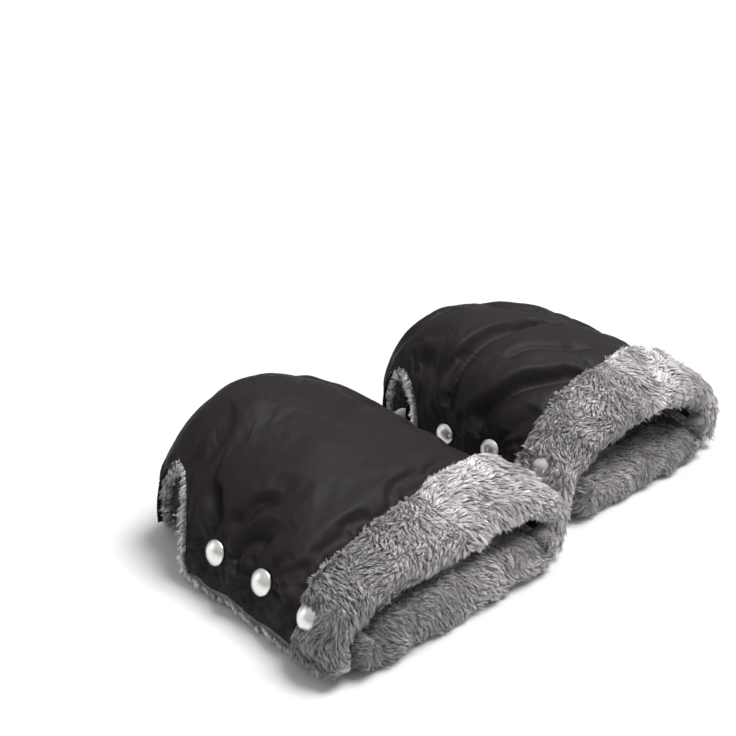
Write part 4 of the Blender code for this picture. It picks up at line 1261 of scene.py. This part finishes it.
def pressed(rings, snaps):
    """The pile crushed where a cap sits on it: no higher than the cap's seat, rising again round it."""
    for where, axis in snaps:
        off = rings - where
        high = off @ axis
        flat = np.linalg.norm(off - high[..., None] * axis, axis=2)
        most = PANEL / 2 + CUFF_RAISE - 0.4 + 9 * smooth(flat, CAP_RADIUS - 1, CAP_RADIUS + 5)
        rings = rings + axis * (np.minimum(0, most - high) * (flat < CAP_RADIUS + 9))[..., None]
    return rings


CUFF_STRANDS, CUFF_PARTS = 21500, 3
# Painted shade across the cuff: darker at the left, away from the light, lighter at the right where it falls
CUFF_PAINTED_SHADE = {"left": (0.56, 1.12), "right": (1.05, 1.22)}
for side in MIDDLE:
    under_caps = [SNAPS[side][0][number - 1] for number in ON_CUFF]
    rings = pressed(lumpy(cuff_rings(side), 31 + len(side), 26, 0.9), under_caps)
    n = ring_out(rings)
    mesh = tube_mesh(f"{side}_plush_cuff", rings, side)
    body = f"{side}_top_panel"
    cuff = placed(f"{side}_plush_cuff", mesh, body, "grey_plush", SKIN, f"{side}_top_cuff")
    down = np.gradient(rings, axis=0) * np.sign(np.linspace(-1, 1, len(rings)))[:, None, None]
    flow = way_round(rings) * 0.55 + unit(down) * 0.8
    # Hardly any strands on the side that lies against the panel
    under = np.linspace(0, 1, CUFF_SAMPLES, endpoint=False)[None] > CUFF_UNDER
    weight = np.where(under, 0.02, 1.0) * np.ones((len(rings), 1))
    for where, axis in under_caps:
        off = rings - where
        flat = np.linalg.norm(off - (off @ axis)[..., None] * axis, axis=2) + 40 * ((off @ axis) < -12)
        weight = weight * smooth(flat, CAP_RADIUS - 2.5, CAP_RADIUS - 0.5)
        flow = flow + 0.15 * unit(off) * (1 - smooth(flat, CAP_RADIUS, CAP_RADIUS + 6))[..., None]
    parts = np.arange(len(rings))[:, None] * CUFF_PARTS // len(rings)
    for part in range(CUFF_PARTS):
        surface = [wrapped(table) for table in (rings, n, flow, weight * (parts == part))]
        name, seed = f"{side}_cuff_pile_{part + 1}", 100 + len(side)
        form = {"parting_and_shade": 0.8, "tone_and_painted_shade": CUFF_PAINTED_SHADE[side]}
        pile(name, surface, CUFF_STRANDS, side, body, PILE, seed, part, **form)
    print(side, "cuff", rings.shape)

# %% [markdown]
# ## The rolled edge of the bottom panel
#
# Here the plush rolls over the panel's front edge and lies on the lining inside. It is full along
# the floor and thin up the walls.

# %% Rolled edges
ROLL_SAMPLES, ROLL_STRANDS = 48, 23000
# Painted shade on the rolls, which lie in shadow under the cuffs: darker overall and darkest at the left
ROLL_PAINTED_SHADE = {"left": (0.44, 0.78), "right": (0.62, 0.66)}
ROLL_FULL = {"left": 0.7, "right": 0.0}  # how much fuller the roll is away from its ends
# Round the front: shares of the nose ahead, and of the height from the outside down to the bulge.
# Then over the lining: shares of the way back, and of the bulge's height above it.
ROLL_FRONT = (
    (0.0, 0.0), (0.45, 0.02), (0.8, 0.1), (0.97, 0.3),
    (1.0, 0.5), (0.93, 0.74), (0.7, 0.93), (0.35, 1.0),
)  # fmt: skip
ROLL_BACK = ((0.3, 1.0), (0.65, 0.9), (0.9, 0.6), (1.0, 0.12), (0.8, 0.0), (0.4, 0.0), (0.0, 0.02))
ROLL_GAP = 0.45


def roll_rings(side):
    """Rings of the roll, one at each line of the tray: round the front edge, then over the lining."""
    middle, n, _ = TRAY[side]
    up, _ = from_rims(middle)
    high = middle[0, :, 2]
    flat = np.minimum(up[0], 200)
    turn = flat[np.argmax(high < PANEL / 2 + 3)]
    share = smooth(up[0], turn - 8, turn + 16)[:, None]
    lining = -PANEL / 2 - ROLL_GAP
    over = np.linspace(0, 1, len(share))[:, None]
    full = 1 + ROLL_FULL[side] * smooth(over, 0.12, 0.3) * (1 - smooth(over, 0.75, 0.93))
    bulge = lining - ROLL_BULGE * full * share - 0.9
    back = (ROLL_DEPTH - ROLL_NOSE) * share + 2.4
    nose, rear = np.array(ROLL_FRONT), np.array(ROLL_BACK)
    y_nose = PANEL_FRONT - ROLL_GAP - (ROLL_NOSE - ROLL_GAP) * nose[:, 0]
    y_nose = np.broadcast_to(y_nose, (len(share), len(nose)))
    h_nose = PANEL / 2 - (PANEL / 2 - bulge) * nose[:, 1]
    y_rear = PANEL_FRONT - ROLL_GAP + back * rear[:, 0]
    h_rear = lining + (bulge - lining) * rear[:, 1]
    y, h = np.concatenate([y_nose, y_rear], 1), np.concatenate([h_nose, h_rear], 1)
    return closed_curve(on_sheet(middle, n, y, h), ROLL_SAMPLES)


for side in MIDDLE:
    rings = lumpy(roll_rings(side), 41 + len(side), 24, 1.0)
    n = ring_out(rings)
    rings[..., 2] = np.maximum(rings[..., 2], 0.4)
    body = f"{side}_bottom_panel"
    mesh = tube_mesh(f"{side}_plush_roll", rings, side)
    mesh.flip_normals()
    roll = placed(f"{side}_plush_roll", mesh, body, "grey_plush", SKIN, f"{side}_bottom_cuff")
    flow = -way_round(rings) * 0.8 + 0.5 * unit(np.gradient(rings, axis=0))
    weight = np.where(n[..., 2] < -0.75, 0.25, 1.0)
    surface = [wrapped(table) for table in (rings, n, flow, weight)]
    name, seed = f"{side}_roll_pile", 200 + len(side)
    pile(name, surface, ROLL_STRANDS, side, body, PILE, seed, length=6.2, lift=26, tone_and_painted_shade=ROLL_PAINTED_SHADE[side])

# %% [markdown]
# ## Pile inside the muff
#
# Inside, the same plush lines both panels. Fewer, wider strands are enough there, because they
# are seen only through the mouth or when the top panel is open.

# %% Linings' pile
LINING_STRANDS = 6000
LINING_FORM = {"length": 7.0, "width": 0.8, "lift": 26, "lock": 5, "sag": 0.0, "tone_and_painted_shade": (0.74, 0.74)}
for side in MIDDLE:
    for word, grid, flip in (("top", TOP[side][2][:-3], True), ("bottom", TRAY[side][2], False)):
        n = outward(grid, flip=flip)
        flow = np.zeros_like(grid) + (0.25, -1.0, 0.0)
        weight = 0.35 + 0.65 * (1 - smooth(grid[..., 1], -60, 10))
        for where, axis in SNAPS[side][0 if word == "top" else 1]:
            weight = weight * smooth(np.linalg.norm(grid - where + axis * PANEL / 2, axis=2), 6, 9)
        surface = (grid, n, flow, weight)
        name, body = f"{side}_{word}_lining_pile", f"{side}_{word}_panel"
        pile(name, surface, LINING_STRANDS, side, body, PILE, 300 + len(name), **LINING_FORM)

# %% [markdown]
# ## Plush edges
#
# A narrow plush edge runs down each side and round the side opening. It is a soft cord with
# short pale pile all round it.

# %% Edge pipings
EDGE_STRANDS, EDGE_SIDES, EDGE_RINGS = 5000, 12, 170
EDGE_ROWS, EDGE_HALF = 150, 24
EDGE_ENDS = np.array([[0.45], [0.75], [0.92]])  # how thin its last three rings are
EDGE_BACK = (74, 84)  # here the edge turns from the side to the back of the muff
EDGE_FORM = {"length": 5.6, "width": 0.24, "lift": 34, "lock": 1.7, "swirl": 16, "sag": 0.1, "parting_and_shade": 0.35}
for side in MIDDLE:
    sheet = top_sheet(side, PANEL / 2, EDGE_ROWS, EDGE_HALF)
    n = outward(sheet)
    for word, column in (("left", 0), ("right", -1)):
        edge, up = sheet[:-1, column], n[:-1, column]
        tangent = np.gradient(edge, axis=0)
        away = unit(np.cross(up, tangent) if word == "left" else np.cross(tangent, up))
        path = scalloped(edge[:, None])[:, 0] + away * (PIPING / 2 + PIPING_CLEARANCE) + up * 1.4
        kept = path[:, 1] < FOLD_END - 12
        both = np.concatenate([path[kept], 0.001 * away[kept]], 1)
        both = spaced(both, np.linspace(0, 1, EDGE_RINGS))
        path, away = both[:, :3], unit(both[:, 3:])
        for _ in range(3):
            path[1:-1] = 0.25 * path[:-2] + 0.5 * path[1:-1] + 0.25 * path[2:]
        tangent = unit(np.gradient(path, axis=0))
        first = unit(np.cross(tangent, (1.0, 0, 0)))
        second = np.cross(tangent, first)
        radius = PIPING / 2 * (0.86 + 0.1 * waves(path, 22, 51))[:, None]
        radius[:3] *= EDGE_ENDS
        radius[-3:] *= EDGE_ENDS[::-1]
        rings = path[:, None] + radius[:, None] * spokes(EDGE_SIDES, first, second)
        rings[..., 2] = np.maximum(rings[..., 2], 0.2)
        out = unit(rings - path[:, None])
        body, name = f"{side}_top_panel", f"{side}_{word}_plush_edge"
        mesh = tube_mesh(name, rings, side)
        placed(name, mesh, body, "grey_plush", SKIN, f"{side}_{word}_edge_piping")
        flow = (0.9 * away - 0.5 * tangent)[:, None] + np.zeros_like(rings) + (0, 0, -0.3)
        # No pile on the side that lies against the panel
        behind = smooth(path[:, 1:2], *EDGE_BACK)
        open_side = unit(away - np.array([0, 1.0, 0]) * behind)
        facing = np.einsum("ijk,ik->ij", out, open_side)
        weight = smooth(facing - (-0.45 + 0.55 * behind), 0, 0.4)
        surface = [wrapped(table) for table in (rings, out, flow, weight)]
        seed = 400 + len(name)
        pile(f"{name}_pile", surface, EDGE_STRANDS, side, body, EDGE_PILE, seed, **EDGE_FORM)

# %% [markdown]
# ## Fold binding and stitches
#
# A strip of shell cloth joins the two panels at the fold. The shell is topstitched along its
# rims: each stitch is one small bent capsule, a few faces long, copied along the seam.


# %% Binding
BINDING_ROWS, BINDING_LINES = 25, 41
for side in MIDDLE:
    share = np.linspace(0, 1, BINDING_ROWS)
    y = TRAY_END + 0.6 + (FOLD_END - BINDING / 2 - TRAY_END - 0.6) * share
    z = RIM_HEIGHT - 1 - 4.4 * np.sin(math.pi * share) ** 0.7
    x = np.linspace(-BINDING_WIDTH / 2, BINDING_WIDTH / 2, BINDING_LINES)
    grid = np.stack(np.broadcast_arrays(x, y[:, None], z[:, None]), -1)
    grid = grid + np.array([0, 0, 1.0]) * (0.35 * waves(grid, 14, 61, stretch=(1, 3, 1)))[..., None]
    faces = (grid + outward(grid) * BINDING, grid)
    name, body = f"{side}_black_binding", f"{side}_bottom_panel"
    slab(name, *faces, side, body, "black_polyester", BLACK, f"{side}_fold_binding")


# %% Stitches
STITCH_LENGTH, STITCH_GAP, STITCH_THICK = 2.3, 1.0, 0.34
STITCH_RINGS, STITCH_SIDES = 6, 6
SEAM_IN = 3.2  # the seam's distance from the rim


def stitches(name, path, out, side, body):
    """A capsule at each step of a seam: a half-buried bent rod, worked out for all stitches at once."""
    run = run_along(path)
    step = STITCH_LENGTH + STITCH_GAP
    count = int(run[-1] / step)
    along = np.linspace(-0.5, 0.5, STITCH_RINGS)
    far = ((np.arange(count) + 0.5) * step)[:, None] + STITCH_LENGTH * along
    place, n = picked(far, run, path), unit(picked(far, run, out))
    s = np.cross(unit(np.gradient(place, axis=1)), n)
    radius = STITCH_THICK * (1 - (2 * along) ** 4 * 0.9)
    lift = STITCH_THICK * 0.5 * np.cos(math.pi * along)
    rings = place[:, :, None] + n[:, :, None] * lift[None, :, None, None]
    rings = rings + radius[None, :, None, None] * spokes(STITCH_SIDES, s, n)
    points_each = STITCH_RINGS * STITCH_SIDES
    first = points_each * np.arange(count)[:, None, None]
    faces = cells(STITCH_RINGS, STITCH_SIDES, wrap=True)[:, ::-1]
    ends = np.arange(STITCH_SIDES)
    ends = np.stack([ends, points_each - 1 - ends])
    tables = [(faces[None] + first).reshape(-1, 4), (ends[None] + first).reshape(-1, STITCH_SIDES)]
    placed(name, mesh_of(name, rings, tables, side), body, "black_polyester", THREAD)


for side in MIDDLE:
    shaped = TOP[side][1]
    n = outward(shaped)
    up, _ = from_rims(shaped)
    front = int(np.argmax(shaped[:, 0, 1] > PANEL_FRONT + CUFF_DEPTH[side][0] - 4))
    back = int(np.argmax(shaped[:, 0, 1] > FOLD_END - 14))
    for word, order in (("left", slice(None)), ("right", slice(None, None, -1))):
        grid, ways, run = (table[front:back, order] for table in (shaped, n, up))
        column = np.argmax(run > SEAM_IN, axis=1)
        rows = np.arange(len(column))
        path, out = grid[rows, column], ways[rows, column]
        stitches(f"{side}_{word}_rim_stitches", path, out, side, f"{side}_top_panel")

# %% [markdown]
# ## Floor, light and camera
#
# A plain pale floor, one broad soft sun high above the muffs' right front, a weak glow from their
# left rear, an even pale room round them, and the camera where the picture was taken from.

# %% Floor
FLOOR_REACH, FLOOR_DROP = 14.0, 0.0006
floor_mesh = bpy.data.meshes.new("floor")
corners = [(x * FLOOR_REACH, y * FLOOR_REACH, 0) for x, y in ((-1, -1), (1, -1), (1, 1), (-1, 1))]
floor_mesh.from_pydata(corners, [], [(0, 1, 2, 3)])
floor = bpy.data.objects.new("floor", floor_mesh)
floor.location.z = -FLOOR_DROP
bpy.context.scene.collection.objects.link(floor)
floor_paint, tree, shader = new_material("pale_floor")
clouds = mottle(tree, 0.8, 6.0, 0.3)
painted(tree, shader, "Base Color", clouds, (0.3, (0.6, 0.6, 0.6)), (0.7, (0.63, 0.63, 0.63)))
shader.inputs["Roughness"].default_value = 0.8
shader.inputs["Specular IOR Level"].default_value = 0.1
floor_mesh.materials.append(floor_paint)


# %% Lights and camera
def lamp(name, kind, place, aim, energy, **values):
    """A light at a place that looks at its aim along its own -Z."""
    light = bpy.data.lights.new(name, kind)
    light.energy = energy
    for key, value in values.items():
        setattr(light, key, value)
    made = bpy.data.objects.new(name, light)
    bpy.context.scene.collection.objects.link(made)
    made.location = place
    made.rotation_euler = (Vector(aim) - Vector(place)).to_track_quat("-Z", "Y").to_euler()
    return made


lamp("high_soft_sun", "SUN", (0.46, -0.25, 1.2), (0, 0, 0), 4.1, angle=math.radians(30))
lamp("side_glow", "AREA", (-1.1, 1.04, 0.4), (0, 0, 0.05), 1.7, size=0.6)
world = bpy.data.worlds.new("pale_room")
world.use_nodes = True
sky = world.node_tree
height = sky.nodes.new("ShaderNodeSeparateXYZ")
sky.links.new(sky.nodes.new("ShaderNodeTexCoord").outputs["Generated"], height.inputs["Vector"])
background = sky.nodes["Background"]
painted(sky, background, "Color", height.outputs["Z"], (0.0, 0.3), (0.35, 0.6), (1.0, 1.0))
background.inputs["Strength"].default_value = 0.78
bpy.context.scene.world = world
bpy.context.scene.view_settings.view_transform = "Standard"

EYE = (-0.579782, -0.47525, 0.397889)
VIEW_ROWS = (
    (0.710426, -0.702261, 0.046081),
    (0.233947, 0.297406, 0.925645),
    (-0.663749, -0.646822, 0.375577),
)
SENSOR, FOCAL_PIXELS, PICTURE_PIXELS = 36, 1098.7, 736
camera_data = bpy.data.cameras.new("camera")
camera_data.sensor_width = SENSOR
camera_data.lens = SENSOR * FOCAL_PIXELS / PICTURE_PIXELS
camera = bpy.data.objects.new("camera", camera_data)
bpy.context.scene.collection.objects.link(camera)
camera.matrix_world = Matrix.Translation(EYE) @ Matrix(VIEW_ROWS).transposed().to_4x4()
bpy.context.scene.camera = camera

# %% Finish
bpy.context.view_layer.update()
shown = [made.data for made in bpy.data.objects if made.type == "MESH" and not made.hide_render]
print("faces shown", sum(len(mesh.polygons) for mesh in shown))
